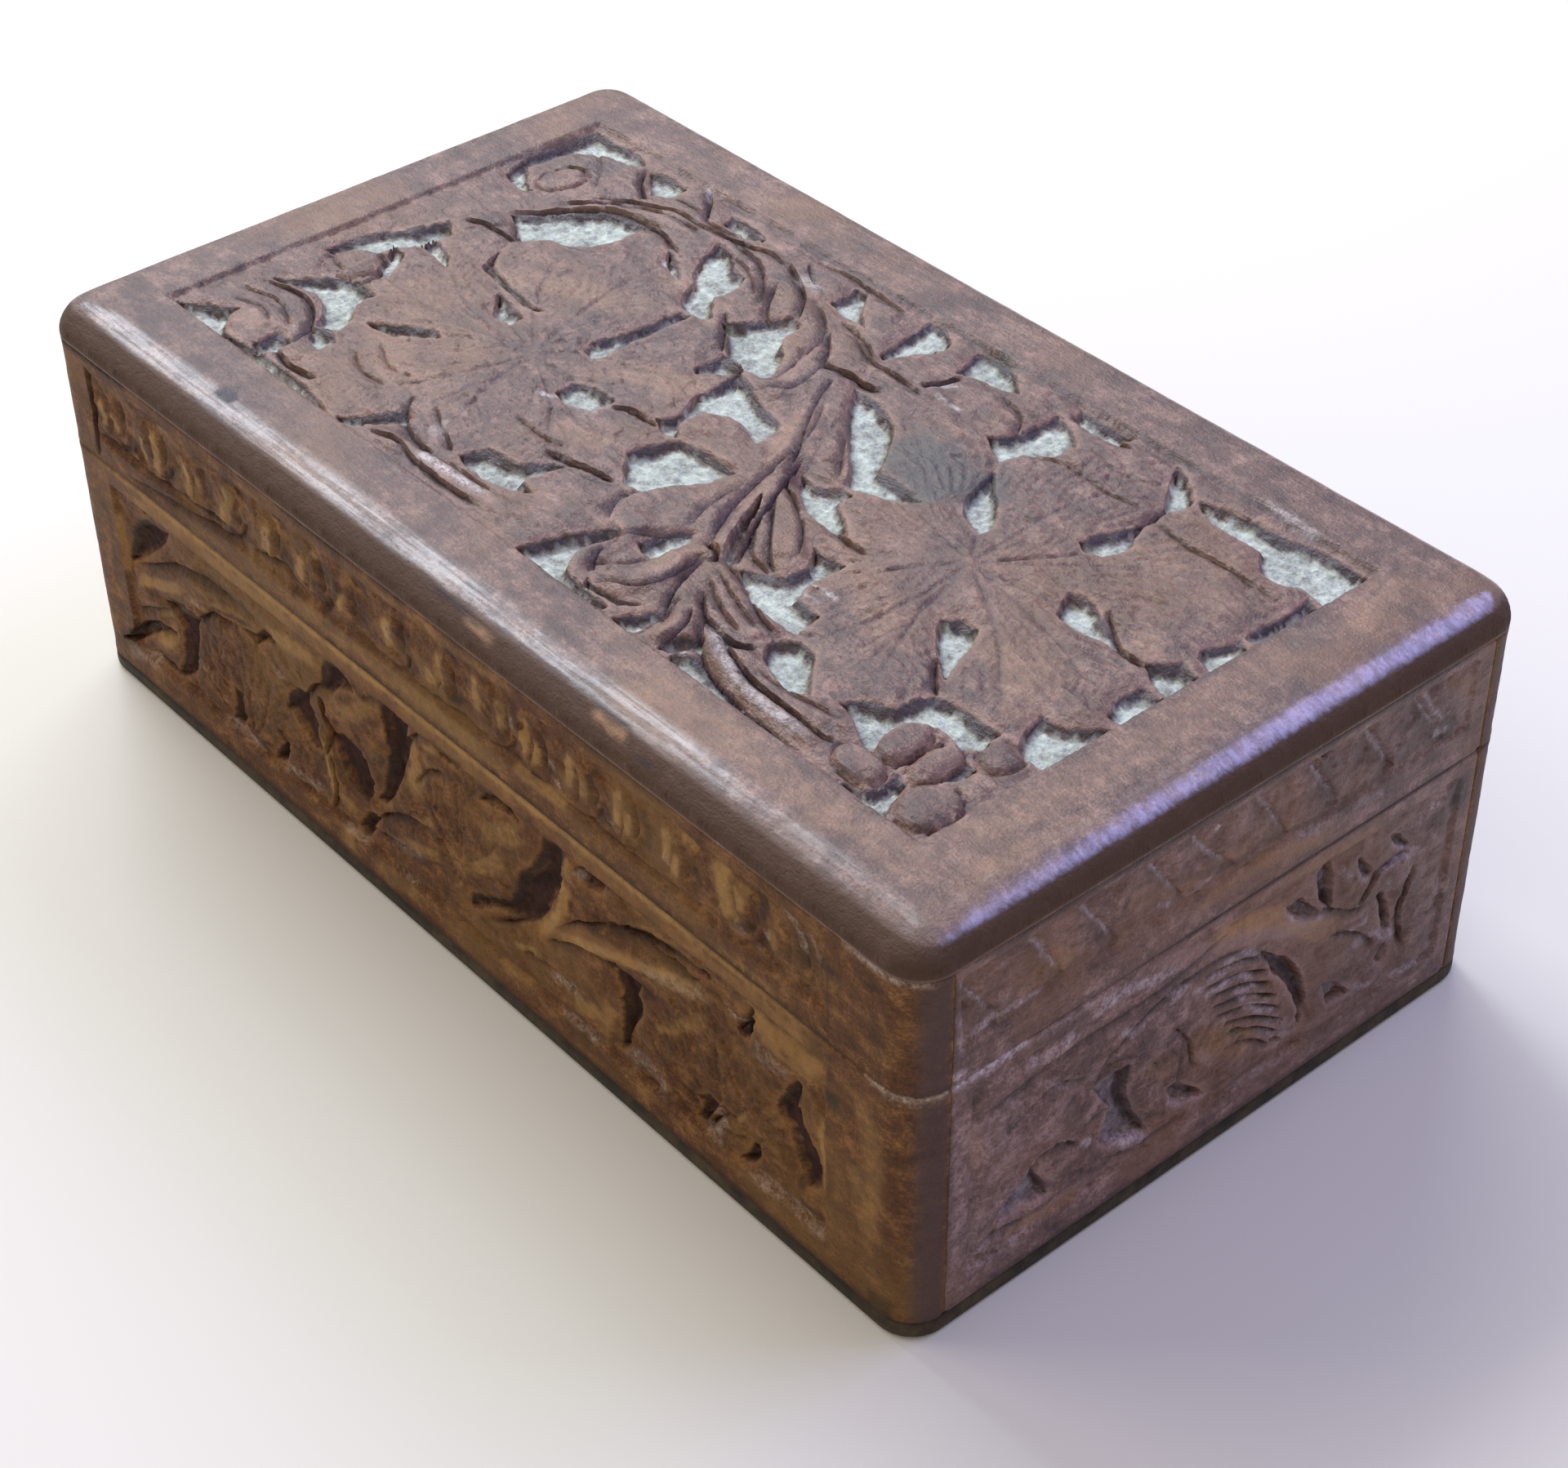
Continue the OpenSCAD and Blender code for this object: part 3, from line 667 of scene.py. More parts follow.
topRidges = [
    (2.4, 0.5, (-84, -12), (-80, 2), (-72, 18), (-62, 30), (-50, 34), (-36, 33), (-24, 28)),
    (3.0, 0.7, (-5, 27), (0, 19), (6, 9), (11, 0)),
    (2.0, 0.8, (11, 2), (15, -8), (19, -17), (23, -23)),
    (3.5, 0.5, (3, 21), (9, 15), (15, 7)),
    (2.0, 0.4, (-38, -38.6), (-25, -37.3), (-10, -36.8), (2, -32)),
    (1.5, 0.9, (32, -31), (38, -35), (48, -37.5), (62, -38)),
    (2.2, 0.6, (33, -30), (42, -33), (54, -34), (64, -31)),
    (3.0, 0.7, (14, -4), (21, -9), (28, -14)),
    (3.2, 0.6, (23, -22), (31, -25), (40, -28)),
    (2.8, 0.6, (16, -24), (19, -31), (15, -37)),
    (2.2, 0.6, (27, -31), (31, -36), (31, -40)),
    (2.4, 0.3, (0, 3), (-8, -4), (-14, -12)),
    (2.6, 0.5, (-6, 25), (-4, 18), (-7, 11)),
    (2.0, 0.5, (-34, 36), (-24, 32), (-18, 27)),
    (2.4, 0.4, (6, -22), (9, -30), (7, -38)),
]
topBuds = [
    ((68.5, -29), (3.0, 4.8), 8, 0.8), ((74.5, -29), (2.7, 4.6), 5, 0.7),
    ((80.2, -35.5), (4.2, 4.6), 0, 0.8),
    ((79.2, -22), (3.0, 3.2), 15, 0.6), ((68, -36.3), (4.2, 3.0), -8, 0.7),
    ((-78.5, 28.5), (4.5, 3.2), 70, 0.4),
    ((-85, -12), (0.1, 0.1), 0, 0), ((-79, -12.5), (5.5, 4.2), 50, 0.3),
]
# Pale strokes: painted highlights on glossy stems and a painted glint on a raised bead, with dust on the
# ledges.
topDustAndHighlight = [
    (1.2, 0.8, (33, -31), (39, -35), (48, -37.7), (59, -38.2)),
    (1.2, 1.0, (-28, -37.4), (-20, -36.8), (-12, -36.6)),
    (1.8, 0.45, (-33, -29.6), (-29, -33)),
    (1.6, 0.7, (-29, 37.4), (-23, 36.6)),
    (1.6, 0.5, (-26, -11), (-19, -12)),
    (0.8, 0.9, (-29, -14.5), (-26, -12.5)),
    (0.9, 1.0, (8.5, 30), (10, 32), (11.7, 34)),
    (0.5, 0.9, (11, 29.6), (17, 29.2)),
    (0.5, 1.0, (-48, 24.8), (-42, 23)),
    (0.7, 0.8, (-76, 0), (-70.5, -1.6)),
    (1.0, 0.6, (62, 45.6), (74, 44.6)),
    (0.6, 0.9, (-60, 44.7), (-57, 42)),
    (0.4, 0.8, (34, -15.6), (40, -15.2)), (0.4, 0.7, (35, -17.6), (39, -17.2)),
]
topStain = [
    (8, 0.95, (15, 18), (24, 16), (33, 13)),
    (5, 0.9, (30, 22), (36, 15)),
    (4.5, 0.8, (8, 44), (14, 41)),
    (5, 0.45, (-86, 30), (-82, 35), (-74, 38)),
    (3, 0.35, (88, 30), (89, 22)),
]
# Dark strokes: a broad darkening of the front border, a dent and fine dark lines on the front edge, painted
# shadow along the carved field's walls and in slits, and weaker darkening on the border.
topDark = [
    (6.0, 0.22, (-96, -46), (-60, -46.5), (-20, -46)),
    (1.3, 2.0, (-61, -50), (-58.8, -49.6), (-56.5, -50.2)), (1.0, 2.0, (-60, -50.6), (-58, -50.4)),
    (1.2, 1.0, (-61.5, -50.2), (-58.5, -50), (-56.5, -50.5)),
    (0.5, 0.9, (-1, -54.2), (6, -54.5), (12, -54.9)),
    (0.5, 0.9, (34, -53.8), (43.5, -53.6)), (0.6, 0.6, (46, -56), (50, -55.6)),
    (0.7, 0.6, (-31.5, 17), (-32.5, 8), (-33, 0)), (0.9, 0.6, (-10, -22.5), (-16, -27)),
    (0.6, 0.7, (-88, 24), (-89.3, 34), (-88, 43)),
    (0.6, 0.7, (-60, 43.7), (-30, 44.3), (0, 44.5), (40, 44.6), (84, 44.2)),
    (0.6, 0.6, (85, 40), (85.2, 20), (84.8, -10)), (0.5, 0.5, (82, 51), (86, 46), (88, 38)),
    (0.6, 0.3, (-36, 50), (-10, 51), (20, 50)), (0.6, 0.35, (20, 53), (60, 52.5)),
    (0.6, 0.3, (90, -20), (91, 0), (90, 14)),
    (0.5, 0.4, (90, -38), (96, -34)), (0.8, 0.3, (-96, -20), (-97, 0), (-96, 20)),
    (0.6, 0.3, (-92, 10), (-93, 30)),
]
# Golden strokes: painted highlights on leaf lobes, stems and border that face the light, and a few pale
# chips on the front edge.
topGoldAndHighlight = [
    (4.0, 0.35, (-60, 2), (-48, 9), (-36, 13)), (4.0, 0.4, (-30, -4), (-20, 2), (-12, 6)),
    (4.5, 0.35, (-62, -20), (-48, -26), (-34, -24)),
    (4.0, 0.4, (58, 27), (66, 23)), (3.0, 0.4, (72, 12), (77, 7)),
    (4.5, 0.35, (28, -4), (40, -10), (52, -16)),
    (2.5, 0.4, (-78, -36), (-72, -34)), (2.5, 0.45, (2, 12), (6, 4), (12, -2)),
    (2.5, 0.45, (16, -30), (19, -24), (18, -18)),
    (4.0, 0.35, (30, -47), (60, -46), (92, -45)), (4.0, 0.3, (88, -40), (90, -10), (89, 20)),
    (2.5, 0.3, (94, -40), (96, -20)),
    (0.7, 1.0, (8, -55), (15, -55.5)), (0.8, 1.0, (36, -54.7), (43.5, -55)),
    (3.0, 0.3, (-30, 20), (-44, 22)),
    (3.5, 0.3, (60, -6), (70, -10), (76, -16)), (3.0, 0.35, (-20, -18), (-10, -16)),
    (3.0, 0.35, (86, 46), (92, 30)),
]
# Worn strokes: rubbed ridges and stems, lightened partly as painted highlight.
topWornAndHighlight = [
    (0.7, 0.9, (-62, 33.6), (-52, 35), (-44, 34.2)), (0.6, 0.8, (-64, 30.6), (-56, 32.2), (-48, 32.2)),
    (1.5, 0.8, (-34, -38), (-22, -37.4), (-8, -37)), (1.5, 0.9, (-38, -28.6), (-33, -30.5), (-28, -34)),
    (1.0, 0.7, (30, -28.6), (36, -29.5), (42, -29)), (1.0, 0.7, (15, -7), (20, -11), (26, -15)),
    (1.0, 0.8, (3.5, 14), (5.5, 8), (8, 2)), (1.0, 0.8, (17, -22.5), (19, -27), (17, -33)),
    (1.6, 0.9, (-12.5, 27), (-9.5, 21), (-8, 15)), (1.2, 0.5, (-24, -10.6), (-12, -13)),
    (1.0, 0.8, (28, -31), (30, -35), (29, -39)), (1.5, 0.5, (66, -36), (74, -35)),
    (2, 0.5, (-78, -34), (-73, -36)),
    (3, 0.35, (-60, -20), (-50, -24)), (3, 0.35, (30, 2), (45, -2), (60, 0)), (3, 0.3, (60, 24), (76, 22)),
]
topLoops = [
    [(-71.5, 41), (-67.5, 42.8), (-62.3, 42), (-62, 38.5), (-65, 36.3), (-68, 38.5)],
    [(-88.8, 43), (-84, 43.7), (-77, 43.5), (-73.5, 42), (-77, 39.8), (-82.5, 38.7), (-85.5, 34),
        (-86.3, 27), (-83, 24.5), (-79, 22.8), (-81, 21.5), (-87, 22.8), (-89, 30)],
    [(-51, 42.3), (-46, 42.5), (-41, 41), (-44, 38.8), (-50, 39.3)],
    [(-75.5, 15), (-72, 20.5), (-67.5, 25.5), (-62.5, 29), (-57.5, 29.5), (-57.3, 24), (-58.5, 19),
        (-61.5, 16), (-65, 14.7), (-67.5, 11.2), (-71, 13)],
    [(-68.3, 9.5), (-65.5, 5), (-62.5, 3), (-56, 1.6), (-50, 1), (-46.5, 1.2), (-50, -0.3), (-58, 0.4),
        (-65, 1.5)],
    [(-57, -0.8), (-52, -1.5), (-48, -2.5), (-48, -5.5), (-51.5, -5.8), (-55, -3)],
    [(-79.5, 6.5), (-76.5, 4), (-77, -1), (-79, -6), (-83, -11), (-86.3, -14.5), (-86.3, -8), (-84, -2)],
    [(-77.5, 1.7), (-72, 0.3), (-68, -2.8), (-73, -2), (-77.3, -1.5)],
    [(-80, -4.8), (-76.5, -5), (-75, -7), (-72, -11.5), (-74.5, -12.3), (-77, -9)],
    [(-84.5, -25.5), (-80, -19.5), (-75.5, -15.7), (-69, -16), (-68.5, -20), (-65.5, -23), (-64, -26.3),
        (-68, -28), (-71, -24.7), (-76, -23)],
    [(-63.5, -22), (-59, -18), (-54.5, -14.7), (-51.8, -15.7), (-54.5, -18.7), (-58, -21.3)],
    [(-68.5, -28.2), (-65, -27), (-61.5, -28.5), (-61.8, -31.5), (-65.3, -31.2)],
    [(-89, -40.8), (-84, -37), (-79.5, -34), (-78.3, -37.5), (-74, -39.7), (-66, -38.7), (-55, -38.8),
        (-48, -40), (-46, -41), (-70, -41)],
    [(-70, -33), (-66.5, -33.5), (-65.7, -37), (-67, -40), (-69.8, -38.5)],
    [(-44.5, -40.7), (-41.5, -36), (-39.5, -32.3), (-36.7, -31.7), (-36.7, -34.5), (-39, -38),
        (-41, -40.7)],
    [(-24, -33), (-22.5, -28), (-16.3, -27.3), (-13.8, -24), (-11, -22.8), (-11.3, -26.5), (-12, -29.8),
        (-8.3, -30.8), (-13, -33), (-19, -33.7)],
    [(-33.3, 17), (-30.8, 17), (-31.3, 8), (-31, 1), (-31.5, -2), (-34.2, -1.8), (-35.5, 1.5), (-34.2, 8)],
    [(-28.3, -8.5), (-26.5, -6.8), (-20.3, -6.4), (-19.5, -8.7), (-21, -11), (-24.5, -12.7), (-28, -12)],
    [(-45.3, 34.7), (-41.5, 34), (-37.5, 31.5), (-34, 31), (-33, 27), (-33.3, 23.5), (-28.5, 19.3),
        (-28.8, 17.5), (-33, 17.5), (-36.5, 19.5), (-38.5, 23.5), (-41.5, 26), (-44, 30)],
    [(-50.5, 28.3), (-46, 26.5), (-41.3, 23.5), (-42, 22.4), (-46.5, 24.5)],
    [(-24, 24), (-20.5, 29), (-17.7, 28.3), (-16.5, 23.5), (-13, 20.5), (-10.3, 16), (-10.3, 13.8),
        (-14.5, 13.5), (-19.5, 14.5), (-23, 17.8), (-27.3, 19.7), (-25, 21.5)],
    [(-19.5, 14), (-15, 14), (-13, 12), (-16.3, 9.5), (-18, 7.2), (-19.8, 8)],
    [(-14.3, 12.7), (-10, 11.5), (-5, 9.3), (0, 8.3), (2, 6), (2.3, 1.7), (-2, 3.2), (-6, 3), (-8.7, 1),
        (-8.5, -3), (-6, -6), (-8.5, -7), (-12.3, -5.2), (-11, -2), (-13.3, 3.5), (-13.3, 8)],
    [(-8, -14), (-6.5, -7.3), (-3, -5.2), (3, -4.8), (6.3, -5), (6, -9), (4.7, -12), (3, -14), (1, -17.8),
        (-2, -19.5), (-5, -17)],
    [(-20.3, 42), (-18, 42.3), (-14.5, 38), (-10.5, 35), (-16, 35), (-20.3, 36.3)],
    [(-5.5, 44), (-2, 44), (1.5, 42), (2, 39), (-0.7, 35), (-2, 31), (-3.5, 31.5), (-4.7, 38)],
    [(6, 43.5), (9, 44.5), (14, 43.5), (19, 39.5), (15, 38.5), (11, 37.7), (8, 36.5)],
    [(26.5, 40.3), (30, 39.3), (34.3, 36.5), (33.3, 32), (30.5, 29.3), (29.7, 25), (27, 26.3), (23.5, 28.3),
        (26, 32.5)],
    [(27.5, 44), (38.5, 44.2), (37.5, 41.6), (33, 40.8), (29, 41.3)],
    [(1, 22.5), (6, 22.7), (12, 20.3), (15, 17.5), (18, 13.3), (20.3, 10.8), (25, 10.7), (30, 9.8),
        (28, 7.3), (23, 5.3), (19, 4.2), (17, 7.3), (13, 10.5), (8.5, 14.5), (4.5, 18.3)],
    [(13, 1.5), (17, 1.7), (20, 4), (22.3, 3.5), (22, 0.7), (26, -1.5), (29.3, -3.7), (23, -4.5),
        (17.5, -2.5)],
    [(30.3, 24), (33, 21), (37.5, 17.5), (41, 13), (41, 10.5), (37, 11.5), (34, 14), (32, 18)],
    [(47.5, 43.7), (50, 42.7), (53.5, 40.3), (55.5, 38.8), (55.7, 36.3), (54, 34), (52, 36.5), (49.5, 40)],
    [(54.6, 31), (55.7, 27), (57.2, 23.5), (56.3, 19.5), (53.7, 18.5), (51.6, 19.3), (52, 23), (53.6, 27)],
    [(55.7, 39.5), (62, 41.3), (70, 42.3), (75, 43.5), (84, 43.5), (84.2, 34), (80, 34.5), (75.5, 33),
        (72, 34.3), (70, 37), (60, 37)],
    [(81.7, 34), (84.2, 33), (84.2, 22), (82.5, 20.3), (81.5, 23), (82.2, 28)],
    [(82.3, 20), (84.3, 19), (84.3, 11.5), (81, 12.3), (80, 15)],
    [(80.5, 10.3), (84.3, 9.3), (84.3, 3.3), (81, 4), (77, 6.3)],
    [(80.5, 2.7), (84.3, 2.7), (84.3, -5), (82, -5.6), (80, -1.3)],
    [(76, -11.3), (79.5, -11), (84.3, -6.7), (84.4, -19.3), (79.5, -19.3), (77.3, -16.3)],
    [(59.3, 10), (62.3, 11), (68, 8.7), (73.5, 6.4), (69, 5.3), (63, 4.7), (60.7, 6.7)],
    [(52, -7.3), (53.8, -5), (57.3, -4.8), (59, -8), (60.5, -12), (62.5, -16.3), (58.5, -13.8),
        (54.5, -10.5)],
    [(28, -9.3), (34.6, -8.7), (34.3, -15), (36, -18.7), (40.7, -19), (41.7, -24), (36, -24.7), (30, -23),
        (25, -20.5), (27.3, -18.3), (30.3, -16.5), (30.7, -12.7)],
    [(40.5, -27), (43.5, -24.6), (47, -25.3), (49.5, -28), (53.3, -31.7), (51, -33.3), (46, -32.5),
        (42, -30.3)],
    [(56.7, -29.7), (58.5, -26.5), (62.3, -25), (63, -20.5), (65.3, -18.5), (69, -18.3), (75.5, -18.5),
        (76, -22.7), (74, -24), (71, -23.5), (68, -24), (65.7, -26.3), (66, -31), (66.8, -33.3),
        (64, -32.7), (60, -30.5)],
    [(71.3, -25), (72.2, -24.5), (71.6, -33.5), (70.8, -33.5)],
    [(76.5, -25.3), (79, -25.7), (78.7, -29), (77, -31), (76.7, -28)],
    [(72.5, -33.5), (75, -34.3), (76, -38), (78, -40.8), (68, -40.6), (72.3, -38.7)],
    [(34, -39.3), (37, -37.2), (42, -38.3), (50, -39.7), (60, -40), (66, -40.3), (52, -41), (36, -41)],
    [(22, -40.8), (24, -37), (25, -34.3), (26.7, -35), (26.8, -41)],
    [(31.7, -36.5), (34.5, -34), (36, -36), (34, -39.3), (31.5, -40.5)],
    [(0.5, -40.8), (1.7, -36), (4, -30), (6, -26.5), (8.7, -28), (7.3, -33), (8, -36.5), (11, -38.7),
        (20, -39.3), (20, -41), (10, -41)],
    [(11, -35.7), (14, -37.6), (19, -37.2), (23, -35), (21, -38.4), (14, -39)],
    [(10.7, -27), (11.5, -21.7), (13.7, -19), (15.5, -22), (15.7, -27.5), (13, -28)],
    [(13.5, -5.5), (16.5, -9.5), (20, -15.5), (23.7, -20.7), (21, -19.8), (17, -14)],
]
topCuts = [
    (0.7, 1.6, (-76, 14.5), (-72, 20.8), (-67.5, 25.8), (-62, 29.3), (-54, 29.8), (-46, 27.5)),
    (0.5, 1.4, (-73, 23), (-66, 30), (-57, 33.5), (-46, 33.7)),
    (0.6, 1.8, (-70, 28.5), (-60, 35), (-48, 36), (-38, 38.5), (-30, 36.5)),
    (0.5, 1.2, (-62, 38.5), (-56, 38.5), (-50, 37.5), (-44, 38.5)),
    (0.8, 1.6, (-72, 41), (-69, 37.5), (-64, 34.5)),
    (0.8, 1.8, (-59, 44), (-55.5, 41.3), (-52.5, 38)),
    (0.4, 1.8, (-84, 40), (-78, 36), (-72, 30)),
    (0.5, 1.0, (-82, 31.5), (-79, 33), (-76, 31)),
    (0.7, 1.6, (-44, 36.5), (-36, 35), (-30, 31), (-26, 26.5)),
    (0.5, 1.3, (-41, 33.5), (-34, 31.5), (-29, 28)),
    (0.8, 1.7, (-33, 38.5), (-27, 36), (-22.5, 33), (-19, 28.5)),
    (0.7, 1.6, (-29, 33), (-24.5, 27), (-20.5, 24.5)),
    (0.6, 1.8, (-22, 34.5), (-16, 31.5), (-12, 27), (-10, 20)),
    (0.6, 1.4, (-14, 33.5), (-8, 32.5), (-3, 30)),
    (0.7, 1.6, (-78, 8), (-74, 10), (-67.5, 11)),
    (0.8, 1.2, (-72, 14), (-69.5, 12), (-67, 10.8)),
    (0.7, 1.4, (-82, -8), (-77, -8.7), (-73.3, -11.5), (-73, -15), (-76, -16.5)),
    (0.4, 1.5, (-86, -12), (-82, -15), (-78, -15.5)),
    (0.7, 1.5, (-84, -27), (-80, -25), (-74, -25), (-69, -28), (-66, -33), (-66.5, -37)),
    (0.4, 1.1, (-85, -31), (-77, -28.8), (-70, -31.5)),
    (0.3, 1.0, (-84, -34), (-77, -31.8), (-71, -34.5)),
    (0.8, 1.4, (-70, -27.7), (-66, -29.8), (-61, -31)),
    (0.9, 1.1, (-66, -36.7), (-61, -37.6), (-54.5, -37)),
    (0.4, 1.2, (-58, -28), (-52, -30.5), (-46, -30)),
    (0.4, 1.2, (-56, -24), (-50, -26.7), (-45, -26)),
    (0.8, 1.8, (-40, -29.3), (-38.5, -31.5), (-33, -34.8), (-26, -35.6)),
    (0.7, 1.5, (-36, -28), (-32, -30), (-25, -33)),
    (0.7, 1.2, (-38, -39.5), (-33, -37.7), (-26, -38.8), (-18, -39), (-10, -38.7)),
    (0.4, 1.2, (-34, -36.3), (-27, -35.8), (-20, -35), (-12, -34.8)),
    (0.8, 1.5, (-16, -22.5), (-10, -21.5), (-3, -20)),
    (0.7, 1.4, (-19, -8), (-15, -6.5), (-10, -6.5)),
    (0.4, 1.2, (-28, -20.5), (-20, -21), (-14, -19.8)),
    (0.8, 1.8, (-14, 30.5), (-8, 25), (-5, 19), (-5, 14), (-9, 10.5)),
    (0.9, 2.0, (-10, 27.5), (-6, 23), (0, 24.3), (5, 24.7)),
    (0.5, 1.4, (-12, 24), (-9.5, 19), (-9.5, 14)),
    (0.7, 1.6, (-2, 21), (1, 15), (6, 8), (10, 3), (12, -3)),
    (0.5, 1.5, (5, 20), (10, 13), (15, 7.5), (18, 4.3)),
    (0.4, 1.4, (1, 17), (6, 10), (9, 3)),
    (1.0, 1.2, (11, 3.5), (15, -4), (19, -12), (24, -20)),
    (0.8, 1.8, (8, 5), (11, -5), (14, -13), (18, -20)),
    (0.8, 1.8, (14, 0.5), (20, -2), (28, -4.3), (35, -5)),
    (0.7, 1.2, (13, -1.5), (19, -4.5), (25, -8.5), (29, -13)),
    (0.9, 1.4, (15.5, -5.5), (20, -10), (26, -15.5), (29, -17)),
    (0.6, 1.2, (20, -13), (24, -17), (29, -17.5)),
    (1.3, 1.4, (17, -19.3), (20, -20), (22.5, -22.5)),
    (0.9, 1.2, (20, -21), (22, -27), (25, -33), (28, -36.5)),
    (0.8, 1.4, (22, -20.5), (28, -22), (36, -25.5), (41, -26.5)),
    (0.5, 1.1, (23, -23), (30, -25.5), (38, -28)),
    (0.6, 1.1, (24, -25), (30, -28), (37, -30.3)),
    (1.0, 1.5, (26, -27.5), (31, -31), (38, -32.3), (41, -30.5)),
    (0.9, 1.3, (30, -30), (34, -34.5), (40, -38), (50, -40)),
    (0.9, 1.3, (33, -30.7), (38, -33.3), (46, -35.5), (56, -36.2), (64, -36)),
    (0.5, 1.2, (45, -33.5), (53, -33.5), (60, -32.3)),
    (0.7, 1.4, (15, -20), (15.7, -26), (14, -32), (10, -35)),
    (0.9, 1.5, (19, -22), (21, -29), (19.5, -34), (14, -37.5)),
    (0.7, 1.4, (9, -29), (9.7, -33), (12, -36)),
    (0.8, 1.4, (25.5, -31), (27.5, -36), (27.5, -40.7)),
    (0.8, 1.2, (28.5, -31.5), (31, -35), (31.5, -40)),
    (0.6, 2.0, (6, -8), (3, -14), (1, -22), (4, -27)),
    (0.5, 1.6, (10, -6), (10.5, -13), (12.5, -19)),
    (0.6, 1.6, (14.5, -19), (11, -24), (7, -30)),
    (0.5, 1.6, (0, -20), (-6, -23), (-12, -23.5)),
    (0.7, 1.6, (-28, 21.5), (-24, 18), (-20, 14)),
    (0.9, 0.9, (54.3, 36), (54.8, 31), (54.6, 28)),
    (0.5, 1.4, (55, 31.5), (62, 30), (70, 30.3), (80, 29.5)),
    (0.4, 1.4, (30, 29.8), (38, 31.7), (46, 31), (53, 32)),
    (0.8, 1.2, (58, -13.5), (61.5, -17), (64, -19)),
    (0.7, 1.4, (66, 11), (73, 6.3), (78, 6)),
    (0.7, 1.6, (7.5, 30), (9, 33), (9.5, 36.5)),
    (0.5, 1.5, (18, 37), (24, 35), (27, 29.5)),
    (0.6, 1.5, (-22, 36.3), (-27, 38.3), (-30, 40.5)),
    (0.6, 1.4, (-12, 34), (-4, 29.5), (4, 29), (10, 28)),
    (0.3, 1.2, (34, 36), (38, 37), (44, 36), (50, 38)),
    (0.8, 1.2, (28, 41.7), (34, 41.3), (40, 42)),
    (0.5, 1.6, (-30, 43), (-20, 43.3), (-8, 42)),
]
topCarving = {
    "field": (-89.5, -41.2, 84.6, 44.8), "depth": 2.3, "wall": 0.4, "shade": 1.4, "lean": (-0.55, 0.75),
    "sink": 0.8, "swell": 0.5,
    "cutScale": 1.3, "facet": 0.26, "ring": 0.6, "fine": 0.46,
    "wornAndHighlight": topWornAndHighlight, "coarse": 0.95, "seed": 11,
    "ridges": topRidges, "buds": topBuds, "pale": topDustAndHighlight, "stain": topStain, "dark": topDark,
    "gold": topGoldAndHighlight,
    "loops": smoothLoops(topLoops),
    "cuts": smoothCuts(topCuts),
    "leaves": topLeaves,
}

# Worn strokes: rubbed edges, stems and the border strip, lightened partly as painted highlight.
frontWornAndHighlight = [
    (1.8, 0.55, (-94, 43), (-60, 43.2), (-20, 43), (20, 43), (60, 43), (84, 42.6)),
    (0.8, 0.7, (-87.5, 12), (-88, 24), (-87.6, 37)), (1.5, 0.9, (21, 18.5), (29, 26.5), (40, 30), (56, 33)),
    (0.8, 0.8, (30.5, 25), (28.8, 31), (32, 39)), (2.4, 0.8, (-5, 38), (-7.5, 33)),
    (1.4, 0.6, (-8, 27), (-3, 30), (4, 34)),
    (3.0, 0.5, (6, 35), (12, 30), (14, 24)), (0.9, 0.9, (-31.5, 24), (-29, 17), (-32, 10)),
    (1.0, 0.7, (-85, 24.5), (-78, 27.8), (-70, 31.3)), (0.7, 0.8, (-84, 21), (-78, 22.6)),
    (1.0, 0.8, (-83, 15), (-78, 16.5), (-76, 21)),
    (0.8, 0.8, (-83, 12.3), (-78, 13.2), (-75.8, 15)), (2.0, 0.5, (31, 22), (37, 17), (40, 12)),
    (2.0, 0.3, (46, 24), (56, 22)),
    (3.0, 0.3, (58, 26), (68, 30)), (2.2, 0.8, (66, 37.6), (76, 38.2), (84, 38)),
    (1.6, 0.4, (-20, 36), (-26, 31)),
    (0.7, 1.0, (60, 35.6), (66.5, 35.3)), (0.8, 0.6, (81.8, 32), (82.6, 26)),
    (1.2, 0.4, (-66, 13), (-62, 20)),
]
frontRidges = [
    (2.2, 0.6, (27, 23), (34, 28), (45, 31.5), (58, 34)),
    (3, 0.5, (-86, 20), (-80, 25), (-70, 31), (-56, 35)),
    (1.6, 0.5, (-32, 9), (-30, 18), (-33, 25)), (2.4, 0.5, (-20, 12), (-12, 17), (-3, 18)),
    (2.0, 0.5, (30, 22), (27, 31), (31, 40)),
]
